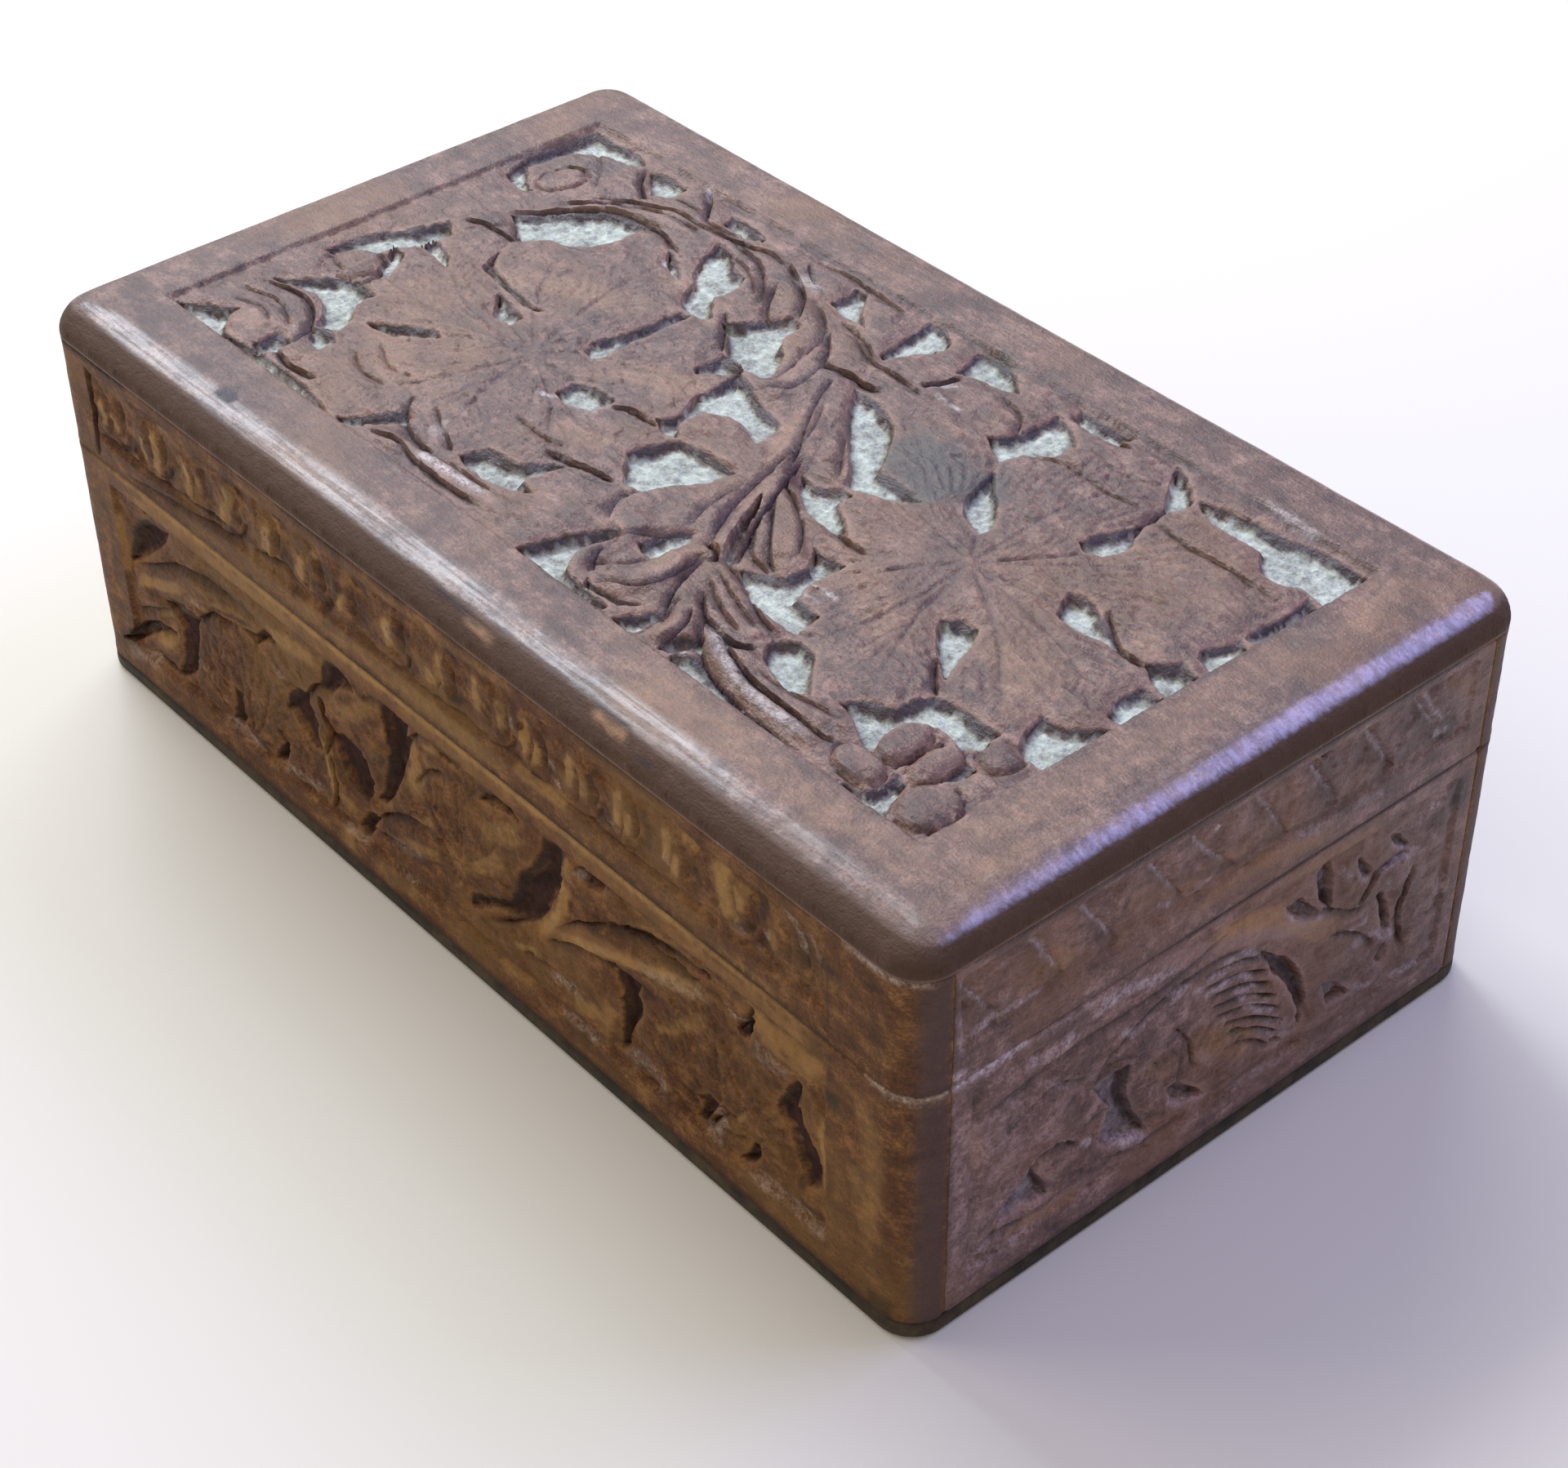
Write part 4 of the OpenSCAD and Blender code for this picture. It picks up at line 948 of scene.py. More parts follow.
# Golden strokes: painted highlights on leaves, stems and ledges, and along the lit upper edge of the base.
frontGoldAndHighlight = [
    (1.5, 0.8, (-85, 24.5), (-79, 27), (-70, 31)), (1.0, 0.7, (-80, 20.5), (-74, 23.5)),
    (1.7, 0.8, (-83, 14), (-78, 15.5), (-75.5, 20)),
    (0.8, 0.8, (-88.5, 36), (-88.2, 24)), (0.8, 0.5, (-66, 28), (-60, 33), (-52, 34.5)),
    (2.2, 0.7, (-45, 36), (-38, 37.5), (-32, 38)),
    (1.0, 0.6, (-33, 36), (-30, 39.5)), (2.2, 0.5, (-26, 31), (-20, 36), (-16, 38)),
    (1.5, 0.9, (-31.8, 24), (-30, 17), (-29, 12)),
    (2.0, 0.6, (-29, 14), (-25, 13)), (0.7, 1.0, (-28, 8.2), (-24, 8.6)),
    (2.2, 1.0, (-8, 38.5), (-6, 33), (-9, 28)),
    (0.8, 0.8, (-4, 39), (-1, 39.5)), (0.9, 0.7, (-8, 22), (-3, 25)), (1.6, 0.5, (-10, 17), (-2, 19)),
    (2.5, 0.35, (-20, 6), (-8, 6.5)),
    (2.0, 0.5, (-30, 5.5), (-26, 6.5)), (1.5, 0.45, (-62, 42.5), (-35, 42.8)),
    (1.2, 0.4, (-82, 42.5), (-66, 42.8)),
    (0.7, 1.0, (-94, 44.85), (-60, 44.8), (-30, 44.9), (0, 44.8), (40, 44.9), (86, 44.8)),
    (1.3, 1.1, (28, 36), (29, 31), (26, 25), (21, 19.8)),
    (1.7, 1.1, (28, 24), (34, 26.5), (44, 30), (52, 33), (60, 35)),
    (0.7, 0.7, (30, 40), (31, 36)), (2.5, 0.6, (10, 31), (16, 35), (20, 37)),
    (2.5, 0.5, (4, 22), (10, 25), (14, 30)),
    (2.5, 0.7, (30, 13), (38, 14)), (2.0, 0.5, (36, 10), (39, 18)), (1.6, 0.6, (46, 37.5), (58, 38.8)),
    (2.4, 0.8, (68, 38.5), (84, 38.3)),
    (1.2, 0.6, (71, 36), (82, 36)), (1.5, 0.4, (52, 23), (56, 27), (60, 31)),
    (0.8, 0.8, (49, 21), (53, 23.5)), (0.9, 0.7, (66, 16), (68, 19)),
    (0.7, 1.0, (83.5, 31), (83.6, 22), (84, 16)), (1.0, 0.6, (44, 19), (45, 22)),
    (0.8, 0.8, (16, 14), (22, 16.5)),
    (1.5, 0.4, (12, 8), (20, 8.5)), (2.0, 0.4, (90, 27), (92, 22)), (1.5, 0.4, (56, 43), (82, 42.6)),
    (2.5, 0.4, (92, 40), (94, 30), (93, 16)),
]
# Dark strokes: painted shadows in slits, hollows and under leaf edges, and the dark joint line of the
# bottom board.
frontDark = [
    (0.7, 0.7, (-91.5, 37), (-91, 30), (-92.5, 22)), (1.0, 0.6, (-94, 36), (-91, 35)),
    (1.5, 0.9, (-86, 28), (-84, 35), (-78, 39), (-73, 39.8)),
    (2.5, 0.6, (-82, 33), (-76, 36.5)), (1.3, 0.6, (-66, 37), (-58, 38), (-50, 37.5)),
    (1.5, 0.5, (-72, 34), (-64, 36), (-56, 36)),
    (0.6, 0.9, (-64, 31.5), (-58, 32.5), (-51, 34)), (0.9, 1.0, (-49.5, 32), (-47, 34.5), (-44, 34)),
    (1.8, 0.9, (-76, 24.7), (-70, 25), (-69, 22), (-71, 16), (-74, 11)), (1.0, 0.6, (-75, 22), (-77, 25)),
    (0.7, 1.0, (-94, 8), (-88, 13), (-82, 17.5), (-78, 18.5)), (0.7, 0.8, (-82, 10), (-78, 9.7), (-74, 11)),
    (1.5, 0.4, (-70, 16), (-66, 20), (-65, 26)),
    (0.9, 0.9, (-58, 18), (-56, 14), (-60, 10)), (0.6, 0.6, (-59, 23), (-57, 19)),
    (0.7, 0.8, (-47, 10), (-45, 14)), (0.7, 0.5, (-48, 13), (-50, 17)),
    (1.3, 1.0, (-43, 22.5), (-40, 26), (-36.5, 28.5)), (0.8, 1.0, (-34, 21), (-33, 20)),
    (1.5, 0.6, (-35, 16), (-33, 13)),
    (1.3, 0.7, (-29, 22), (-26, 17.5), (-22, 17), (-20, 20)), (3.5, 0.5, (-28, 24), (-22, 22)),
    (0.8, 0.9, (-21, 15), (-23, 11), (-24, 9)),
    (1.0, 0.9, (-31.5, 33.5), (-29, 36), (-27, 39.5), (-23, 40.3)), (1.5, 0.6, (-28, 37), (-25, 38)),
    (2.0, 0.9, (-15.5, 40), (-12, 40.5), (-9, 39)),
    (1.8, 0.9, (-12, 38), (-12, 32), (-15, 25)), (1.0, 0.6, (-15, 30), (-17, 27)),
    (1.5, 0.5, (-18, 24), (-12, 21), (-8, 22)),
    (0.7, 0.8, (-5, 40.5), (0, 42)), (0.6, 0.6, (-4, 31), (-1, 37)),
    (0.8, 0.9, (-1, 42), (4, 41.5), (7, 42)), (1.0, 0.9, (9, 39), (12, 40.5), (16, 40.5)),
    (1.2, 0.4, (8, 37), (12, 39), (18, 40)), (0.7, 0.8, (22, 41), (23, 43)),
    (1.6, 0.9, (25, 40.5), (28.5, 40.7), (27.5, 35), (23.5, 31), (18, 27), (15.5, 21.5), (9, 18),
        (4.5, 14)), (0.8, 0.5, (7, 13.5), (12, 13)),
    (0.6, 0.9, (33, 40), (40, 40.3)), (1.6, 0.7, (39, 33), (46, 36), (54, 38), (60, 38.8)),
    (0.8, 0.8, (36, 26), (44, 26.5), (50, 26.7)),
    (1.3, 0.9, (41, 26), (43, 20), (42, 14), (40, 11)), (0.8, 1.0, (66.5, 33), (68.5, 35), (69.8, 39)),
    (1.1, 0.9, (78, 33), (78.5, 30), (76, 27), (75, 24)),
    (1.0, 0.7, (77, 18.5), (82, 19), (80, 16), (79, 13)), (0.7, 0.7, (79, 11), (84, 11)),
    (0.9, 0.6, (58, 18), (56, 13)), (0.6, 0.9, (58.5, 9.5), (60, 13)),
    (0.8, 0.9, (70, 15), (69, 12), (67, 9)),
    (0.8, 0.5, (50.5, 18), (51, 14), (55, 9.5)), (0.6, 0.6, (48, 19), (49.5, 16)),
    (0.6, 0.7, (86, 45), (85.5, 38)),
    (0.8, 0.5, (85, 24), (86, 20), (85, 17)), (1.5, 0.6, (58, 4.9), (65, 4.9)),
    (0.7, 0.9, (-100, 3.4), (-50, 3.4), (0, 3.4), (50, 3.4), (106, 3.4)),
]
# Pale strokes: dust on ledges and pocket floors, lightened as painted highlight where light catches them.
frontDustAndHighlight = [
    (0.7, 1.0, (64, 36), (68, 35.5)), (1.2, 0.8, (60, 14.5), (63, 13.5), (62, 10)),
    (0.6, 1.0, (79, 27), (78, 28)), (0.6, 0.9, (25, 14.5), (31, 15.8)),
    (0.5, 1.2, (92, 45.1), (99, 45), (104, 45.1), (107, 45.2)), (1.5, 0.3, (-37, 24), (-34, 21)),
    (2.0, 0.35, (22, 28), (19, 24)),
    (1.6, 0.6, (-92, 6.3), (-87, 8), (-82, 9)), (1.0, 0.7, (-63, 9.2), (-52, 9.6)),
    (1.4, 0.7, (-46, 9.7), (-40, 11), (-34, 12)),
    (0.9, 0.6, (-29, 8.5), (-22, 9)), (1.4, 0.45, (-15, 14.5), (-6, 16)), (0.9, 0.5, (-15, 9.5), (-9, 9)),
    (1.2, 0.7, (27, 9.3), (31, 9), (36, 9)), (2.2, 0.6, (42, 10), (46, 12.5), (51, 9.5)),
    (1.6, 0.6, (59, 10), (63, 9.5)),
    (1.8, 0.65, (69, 8.5), (77, 9.5), (85, 8.7)), (1.2, 0.7, (-67, 30.5), (-65, 30)),
    (0.9, 0.6, (-45, 29.8), (-41, 28.8)),
    (1.5, 0.5, (46, 30.5), (52, 32.5), (60, 35)), (1.8, 0.5, (70, 33.5), (77, 33)),
    (1.6, 0.6, (77, 25), (79, 21)),
    (0.9, 0.7, (31, 38.3), (35, 38)), (1.0, 0.5, (24, 14), (33, 15)),
    (0.6, 0.9, (-81, 34.6), (-78.5, 35.5)),
    (2.0, 0.35, (-37, 24), (-34, 20.5)), (0.9, 0.6, (62, 14.5), (64.5, 13.5)),
    (1.0, 0.3, (-55, 20), (-53, 21.5)),
]
frontLoops = [
    [(-88, 26.3), (-85.5, 33), (-81, 38.3), (-73, 39.8), (-75, 36.5), (-79.5, 32.5), (-84, 28.8)],
    [(-77.5, 24.7), (-72, 25.3), (-67.7, 25.5), (-68.5, 21), (-70, 16), (-72, 12.5), (-75.3, 9.8),
        (-77, 10), (-74.3, 15.5), (-73.3, 20.7)],
    [(-60, 31.8), (-54, 32.3), (-50.3, 33), (-47, 35.6), (-44.3, 34.3), (-47.5, 32.8), (-49.5, 30.8),
        (-51.5, 31.8)],
    [(-43, 22), (-41.3, 27), (-37.5, 29), (-35, 26.5), (-32.8, 23), (-32.5, 20.5), (-35.5, 19.3),
        (-38.5, 20.5), (-41.5, 23.5)],
    [(-31.8, 32.7), (-31.5, 38), (-28.5, 40.3), (-23, 40.2), (-22, 38), (-26, 36.3), (-28.7, 33.8)],
    [(-15.3, 38), (-14, 41), (-8.3, 41), (-8.5, 36.5), (-10.3, 31.5), (-12, 26.5), (-16, 20.5), (-19, 19.3),
        (-16.3, 24), (-14.3, 31)],
    [(-30.5, 25), (-27, 27), (-22, 26.7), (-19.5, 22), (-21.3, 17), (-24.3, 17.3), (-27, 20)],
    [(8.5, 36.3), (11, 39.5), (15.5, 40.4), (20, 39.2), (14, 38)],
    [(-2.5, 41), (2, 41.2), (5, 40), (1, 39.3)],
    [(24, 39.8), (28.5, 40.4), (28.5, 36), (26.8, 31), (24.5, 27), (22, 22.5), (17.7, 19.3), (12, 17.8),
        (7, 14.7), (4, 13.2), (4.8, 16.5), (9, 18.7), (13.7, 20.8), (16.3, 24), (17.8, 29), (21, 32.5),
        (23.3, 36.5)],
    [(39.5, 26.3), (44.7, 26), (45.8, 21.5), (43.3, 17), (42, 12.5), (40, 10.8), (40.7, 16), (40.8, 21)],
    [(31, 38.7), (34, 40.5), (38.5, 40.3), (37.3, 38.3), (34, 37.2)],
    [(73.7, 24.7), (76, 29.7), (78.3, 33.3), (79.5, 33), (78.7, 28.5), (80.7, 24.5), (82.7, 21), (83, 16),
        (80.5, 14.3), (78.3, 18.3), (76.3, 22)],
    [(57, 14), (59.5, 16.2), (62.3, 15.7), (60.3, 12.7), (58.7, 9.7), (57.3, 10.2), (58.3, 12.3)],
    [(69.3, 14.7), (70.7, 13), (69, 9.8), (66, 9), (68, 11.7)],
    [(-59.3, 18), (-57.3, 17.3), (-56, 13), (-57.5, 10), (-61, 9.8), (-59.2, 13)],
    [(-94.3, 7.8), (-90, 11.3), (-85, 15.3), (-79.5, 18.3), (-75.5, 18), (-80.5, 15.7), (-85.5, 12.5),
        (-89.3, 9.5)],
    [(-84.3, 9.8), (-79, 10.7), (-75.3, 9.4), (-80, 9.2)],
    [(-48.5, 9), (-46.5, 13), (-43.7, 14.8), (-44.7, 11)],
    [(-25.3, 10), (-21.5, 15.3), (-18.5, 15.7), (-20.3, 12.3), (-22.5, 9.3)],
    [(64.7, 33.5), (67.7, 34.3), (69.7, 38.3), (70.3, 38), (68.7, 33)],
    [(40, 34), (46.5, 37.3), (56, 38.7), (64, 38.2), (54, 36.7), (46, 35)],
]
frontCuts = [
    (0.5, 1.8, (-86, 27), (-80, 30), (-73, 34), (-66, 36.5), (-57, 37.5), (-49, 36.5)),
    (0.7, 1.8, (-77, 24.5), (-71, 27), (-67, 26.5), (-62, 30.5), (-55, 31.5)),
    (0.8, 2.0, (-91, 10), (-86, 15), (-80, 18), (-75, 18.5)),
    (0.4, 1.5, (-88, 17), (-82, 20.5), (-76, 23)),
    (0.6, 1.8, (-43.5, 31), (-40, 29), (-36, 29.5), (-33, 33), (-28, 34.5)),
    (0.6, 1.5, (-32, 20), (-30.5, 25), (-33, 31)),
    (0.5, 1.4, (-31, 10), (-29.5, 16), (-31, 22)),
    (0.4, 1.2, (-57, 23), (-56, 19), (-57.5, 14)),
    (0.5, 1.8, (-19.5, 15), (-15, 19), (-9, 22), (-4, 22.5)),
    (0.5, 1.6, (-22, 13), (-16, 14.5), (-7, 16)),
    (0.7, 1.8, (-14.5, 24), (-11, 31), (-8.5, 37), (-5, 40.5)),
    (0.4, 1.4, (-7, 30), (-3, 35), (1, 37)),
    (0.5, 1.6, (29.5, 40), (27.5, 32), (23.5, 25), (16, 18), (9, 14)),
    (0.4, 1.4, (30, 36), (36, 33), (45, 36), (56, 37)),
    (0.5, 1.5, (26, 24), (33, 30), (42, 34), (55, 36), (68, 36)),
    (0.6, 1.7, (24, 20), (31, 24.5), (38, 26), (49, 26.3)),
    (0.7, 1.4, (70, 40), (69, 37), (66.5, 33.5)),
    (0.4, 1.4, (18, 14), (24, 15.5), (31, 15.5)),
    (0.6, 1.2, (64, 15.5), (61, 12), (60, 9.5)),
    (0.6, 1.2, (71, 15.5), (70, 12), (68, 9.5)),
    (0.5, 1.3, (57, 9.5), (59, 13), (61.5, 15.5), (66, 16)),
    (0.5, 1.2, (-47, 10), (-45, 14), (-46, 17)),
]
frontLeaves = [
    {"heart": (-54, 10), "half": 7, "spacing": 2.2, "rays": 44, "reach": 24, "ribs": [
        ((-67, 17), 0.1), ((-63, 27), 0.06), ((-54, 31), 0), ((-46, 28), -0.06), ((-42, 17), -0.1)]},
    {"heart": (4, 22), "half": 7, "spacing": 2.2, "rays": 48, "reach": 18, "ribs": [
        ((-7, 33), 0.1), ((4, 38), 0), ((15, 34), -0.06), ((-6, 20), 0.1), ((14, 25), -0.1)]},
    {"heart": (62, 12), "half": 7, "spacing": 2.2, "rays": 48, "reach": 24, "ribs": [
        ((49, 17), 0.1), ((52, 28), 0.06), ((62, 34), 0), ((72, 29), -0.06), ((74, 19), -0.1)]},
]
frontCarving = {
    "field": (-88.5, 8.7, 84.5, 41.2), "depth": 2.0, "wall": 0.4, "shade": 1.0, "lean": (-0.5, 0.6),
    "sink": 0.75,
    "swell": 0.5, "cutScale": 1.7, "facet": 0.34, "ring": 0.5, "fine": 0.48, "coarse": 0.95, "seed": 31,
    "wornAndHighlight": frontWornAndHighlight,
    "ridges": frontRidges,
    "buds": [],
    "gold": frontGoldAndHighlight,
    "dark": frontDark,
    "pale": frontDustAndHighlight,
    "stain": [(2.2, 1.0, (84, 36), (87.5, 35.5)), (3, 0.4, (-14, 33), (-16, 24)),
        (2.5, 0.8, (93, 5), (98, 4.5))],
    "loops": smoothLoops(frontLoops),
    "cuts": smoothCuts(frontCuts),
    "leaves": frontLeaves,
}

# Worn strokes: rubbed stems and ledges, lightened partly as painted highlight.
endWornAndHighlight = [
    (1.8, 0.7, (-14, 44), (-4, 40.5), (8, 36), (20, 30)), (1.5, 0.6, (-36, 9.5), (-24, 10), (-14, 9)),
    (1.6, 0.7, (-4, 21), (0, 17)), (2.5, 0.4, (-45, 36), (-42, 30)),
    (0.8, 0.9, (34, 22), (38, 20), (37.5, 15)),
    (0.8, 0.6, (-32, 27), (-26, 30), (-20, 31)), (0.7, 0.8, (-29, 20.5), (-24, 21.8), (-20, 20.5)),
    (1.2, 0.4, (10, 12), (22, 10.5), (34, 9)), (0.8, 0.7, (24, 27.5), (30, 27), (34, 29.5)),
    (0.8, 0.7, (-43, 24), (-38, 26)),
]
# Golden strokes: painted highlights on stems and ledges.
endGoldAndHighlight = [
    (2.5, 0.9, (-4, 42), (10, 38), (18, 31), (24, 27.5)), (4.0, 0.45, (-5, 24), (3, 19), (8, 15)),
    (2.0, 0.5, (-47, 36), (-45, 28)),
    (1.3, 0.7, (-40, 10), (-26, 9)), (3.0, 0.4, (-14, 26), (-8, 20)), (1.5, 0.4, (10, 44), (30, 42.5)),
]
# Dark strokes: a broad darkening over one part of the face, painted shadows in the slits and hollows, and
# dark joint lines at the corner, the bottom board and the lid's seam.
endDark = [
    (26.0, 0.3, (34, 4), (34, 42)),
    (0.7, 1.0, (-35.5, 19.5), (-33.5, 16.5), (-31.5, 13.2)),
    (1.1, 1.0, (-22, 26.5), (-19.5, 27), (-17.5, 26.8), (-18, 22), (-16, 17), (-13, 12)),
    (0.6, 1.0, (-9, 16.8), (-5, 14), (-2, 11.5)),
    (1.0, 1.0, (10.5, 28.5), (14, 25.5), (16.5, 21), (18.3, 16)), (0.6, 0.9, (14.5, 36.8), (16, 36)),
    (0.9, 0.9, (18.5, 40.5), (20.5, 36), (22.2, 32.3)), (0.8, 0.7, (19, 41), (21, 41.5)),
    (0.6, 0.9, (34, 37.8), (38.5, 34)),
    (0.8, 1.0, (33.5, 28), (34.5, 24.5), (36, 19.5)), (0.6, 0.9, (12, 13), (13.5, 12)),
    (0.8, 1.0, (-50, 3.4), (0, 3.4), (50, 3.4)),
    (0.9, 0.6, (-50.4, 8), (-50.4, 44)), (0.5, 0.7, (-14, 45.2), (10, 45.2), (50, 45.2)),
    (0.6, 0.5, (28, 30), (33, 28)),
]
# Pale strokes: a broad lightening near one corner, painted highlights and sheen on the combed lines and
# ledges, and dust in the hollows.
endDustAndHighlight = [
    (12.0, 0.22, (-46, 6), (-45, 38)),
    (0.6, 1.4, (-51, 45.1), (-44, 45), (-37, 45.1)), (1.5, 0.7, (-37, 40), (-33, 39.5), (-28, 41)),
    (1.2, 0.8, (-26, 42), (-20, 42.7), (-15, 41.5), (-9, 40.5)),
    (0.8, 0.5, (-36, 44.5), (-26, 44), (-20, 43.5)), (1.2, 0.7, (-20, 35.5), (-17, 33.5), (-15, 35)),
    (0.8, 0.6, (-12, 37), (-8, 35.5), (-11, 34.5)),
    (1.2, 0.5, (-6, 33), (0, 34.5), (4, 33)), (0.7, 1.0, (2, 28.8), (7, 26.8)),
    (0.7, 1.0, (3.5, 26.6), (8.5, 24.3)), (0.7, 1.0, (5, 24.2), (10, 21.8)),
    (0.7, 0.9, (7, 22), (12, 19.3)), (0.7, 0.8, (-4, 31.5), (2, 31.3), (6, 29.5)),
    (0.6, 0.7, (-5, 33.5), (1, 33.6)), (0.9, 0.7, (-2, 35.5), (4, 35), (8, 31.5)),
    (3.0, 0.4, (10, 17), (16, 12)), (1.6, 0.9, (-41, 14.5), (-35, 14.5)),
    (1.8, 0.9, (-21, 17), (-18, 14), (-13, 10.5)), (0.9, 1.1, (-26, 19), (-24, 17)),
    (1.3, 0.6, (-9, 15), (-4, 12)), (1.2, 0.7, (12.5, 36.5), (16, 34.5), (21, 31.8)),
    (0.8, 0.5, (23, 39), (25, 36)), (0.9, 0.9, (28, 35.5), (29.5, 33)),
    (0.6, 0.8, (34, 37), (38, 34), (42, 31.5)), (0.6, 0.7, (32, 32.5), (36, 33), (40, 32)),
    (0.8, 0.4, (34, 31), (35, 27)), (0.7, 0.7, (25, 25.5), (31, 25)),
    (1.3, 0.6, (27, 22.5), (33, 20.5), (37, 17.5), (36, 14.5)), (1.2, 0.5, (22, 16), (28, 13), (34, 11)),
    (0.9, 1.0, (38, 9.5), (45, 8.8)),
    (0.7, 1.0, (41, 39.7), (43.5, 39.4)), (1.6, 0.3, (-48, 9.5), (-42, 8), (-34, 8.7)),
    (2.0, 0.3, (-44, 29), (-38, 27)), (1.5, 0.3, (-40, 27), (-30, 24)),
    (0.6, 0.5, (-38, 20), (-32, 21.5), (-27, 20)), (1.0, 0.35, (-47, 12), (-40, 10.5)),
    (1.5, 0.3, (-33, 34), (-28, 31)), (1.2, 0.3, (4, 9), (16, 8)),
]
endLoops = [
    [(-24, 26.8), (-21.5, 27.6), (-17.4, 27.8), (-17.3, 22.5), (-15.7, 17.5), (-12, 11.3), (-15.5, 12.5),
        (-21, 14), (-22.5, 17), (-20.3, 21)],
    [(-35.8, 18.8), (-33.6, 21), (-33.3, 17), (-31.3, 12.4), (-34.5, 13), (-41, 13.3), (-38.5, 16.3)],
    [(9.3, 30.5), (13, 28.5), (16.8, 23), (19, 16), (18.3, 11), (16.6, 17), (13.5, 23.3), (10.3, 27.5)],
    [(18.5, 40.3), (20.3, 41.7), (22, 38.5), (22.3, 34), (22, 31.7), (19.3, 35.3)],
    [(12.5, 37.3), (15.3, 37.8), (18.5, 34.3), (20.3, 31.8), (16, 33.3)],
    [(32.8, 28.3), (34.3, 27.7), (36, 22.5), (37, 18.8), (34.7, 20.5), (33.7, 24)],
    [(-9, 17.3), (-6.5, 16.7), (-3, 13.3), (-0.7, 10.8), (-4.5, 12), (-7.5, 13.5)],
    [(22.5, 17.5), (25.5, 15.7), (29.3, 11.7), (24.3, 12)],
    [(33.8, 38.7), (36.3, 37), (38.7, 33.8), (35.7, 35.3)],
    [(26.7, 38.3), (28.3, 37.3), (31, 33), (28.5, 34)],
    [(12, 13.3), (14, 12.5), (15.3, 10.7), (12.5, 11.3)],
    [(35.7, 17), (37.7, 16.3), (36, 13), (34.3, 14)],
]
endCuts = [
    (0.7, 1.8, (-26, 25), (-21, 32), (-12, 36.5), (0, 37), (9, 31.5), (16, 23), (20, 12.5)),
    (0.6, 1.4, (-36, 20.5), (-31, 21.5), (-26.5, 19)),
    (0.6, 1.8, (-46, 36), (-38, 37), (-28, 38.5), (-14, 38.5), (0, 41)),
    (0.5, 1.8, (12, 38), (20, 33), (28, 28.5), (34, 28)),
    (0.5, 1.6, (-40, 30), (-33, 33), (-26, 31)),
    (0.5, 1.5, (22, 27), (28, 24), (33, 19)),
    (0.7, 1.0, (-4, 35.3), (3, 34), (8, 31.5)), (0.8, 1.0, (-4, 33), (3, 31.5), (9.5, 28.3)),
    (0.8, 1.0, (-3, 30.7), (4, 29), (10.5, 25.3)), (0.8, 1.0, (-2, 28.3), (5, 26.3), (12, 22)),
    (0.8, 1.0, (-1, 26), (6, 23.8), (13, 19)), (0.7, 1.0, (1, 23.5), (7, 21), (14, 16)),
    (0.6, 1.0, (2, 21), (8, 18.3), (14, 13.5)), (0.5, 1.0, (3, 18), (8, 15.8), (12, 12)),
    (0.4, 1.4, (-10, 30), (-6, 25), (-4, 18)), (0.5, 1.4, (38, 33), (33, 33), (28, 29)),
    (0.5, 1.5, (40, 30), (38, 22), (40, 14)), (0.4, 1.2, (-46, 12), (-40, 12), (-34, 10)),
    (0.5, 1.2, (-30, 20.5), (-26, 21.5), (-20.5, 21)), (0.5, 1.2, (-20, 11.5), (-14, 10), (-6, 10)),
]
endLeaves = [
    {"heart": (-8, 12), "half": 9, "spacing": 2.0, "rays": 40, "reach": 22, "ribs": [
        ((-20, 24), 0.1), ((-6, 34), 0.0), ((-16, 14), -0.1)]},
]
endCarving = {
    "field": (-46.5, 8.3, 47.5, 42), "depth": 1.9, "wall": 0.4, "shade": 0.7, "lean": (-0.5, 0.6),
    "sink": 0.6,
    "swell": 0.6, "cutScale": 1.6, "facet": 0.34, "ring": 0.5, "fine": 0.48, "coarse": 0.95, "seed": 51,
    "wornAndHighlight": endWornAndHighlight,
    "ridges": [(3.5, 0.8, (-34, 41), (-18, 41.5), (-2, 39), (10, 35), (22, 29)),
        (7, 0.8, (-20, 30), (-4, 33), (10, 25), (17, 14))],
    "buds": [],
    "gold": endGoldAndHighlight,
    "dark": endDark,
    "pale": endDustAndHighlight,
    "stain": [(2.6, 0.8, (47, 42), (48, 36)), (3, 0.3, (-30, 28), (-26, 22))],
    "loops": smoothLoops(endLoops),
    "cuts": smoothCuts(endCuts),
    "leaves": endLeaves,
}
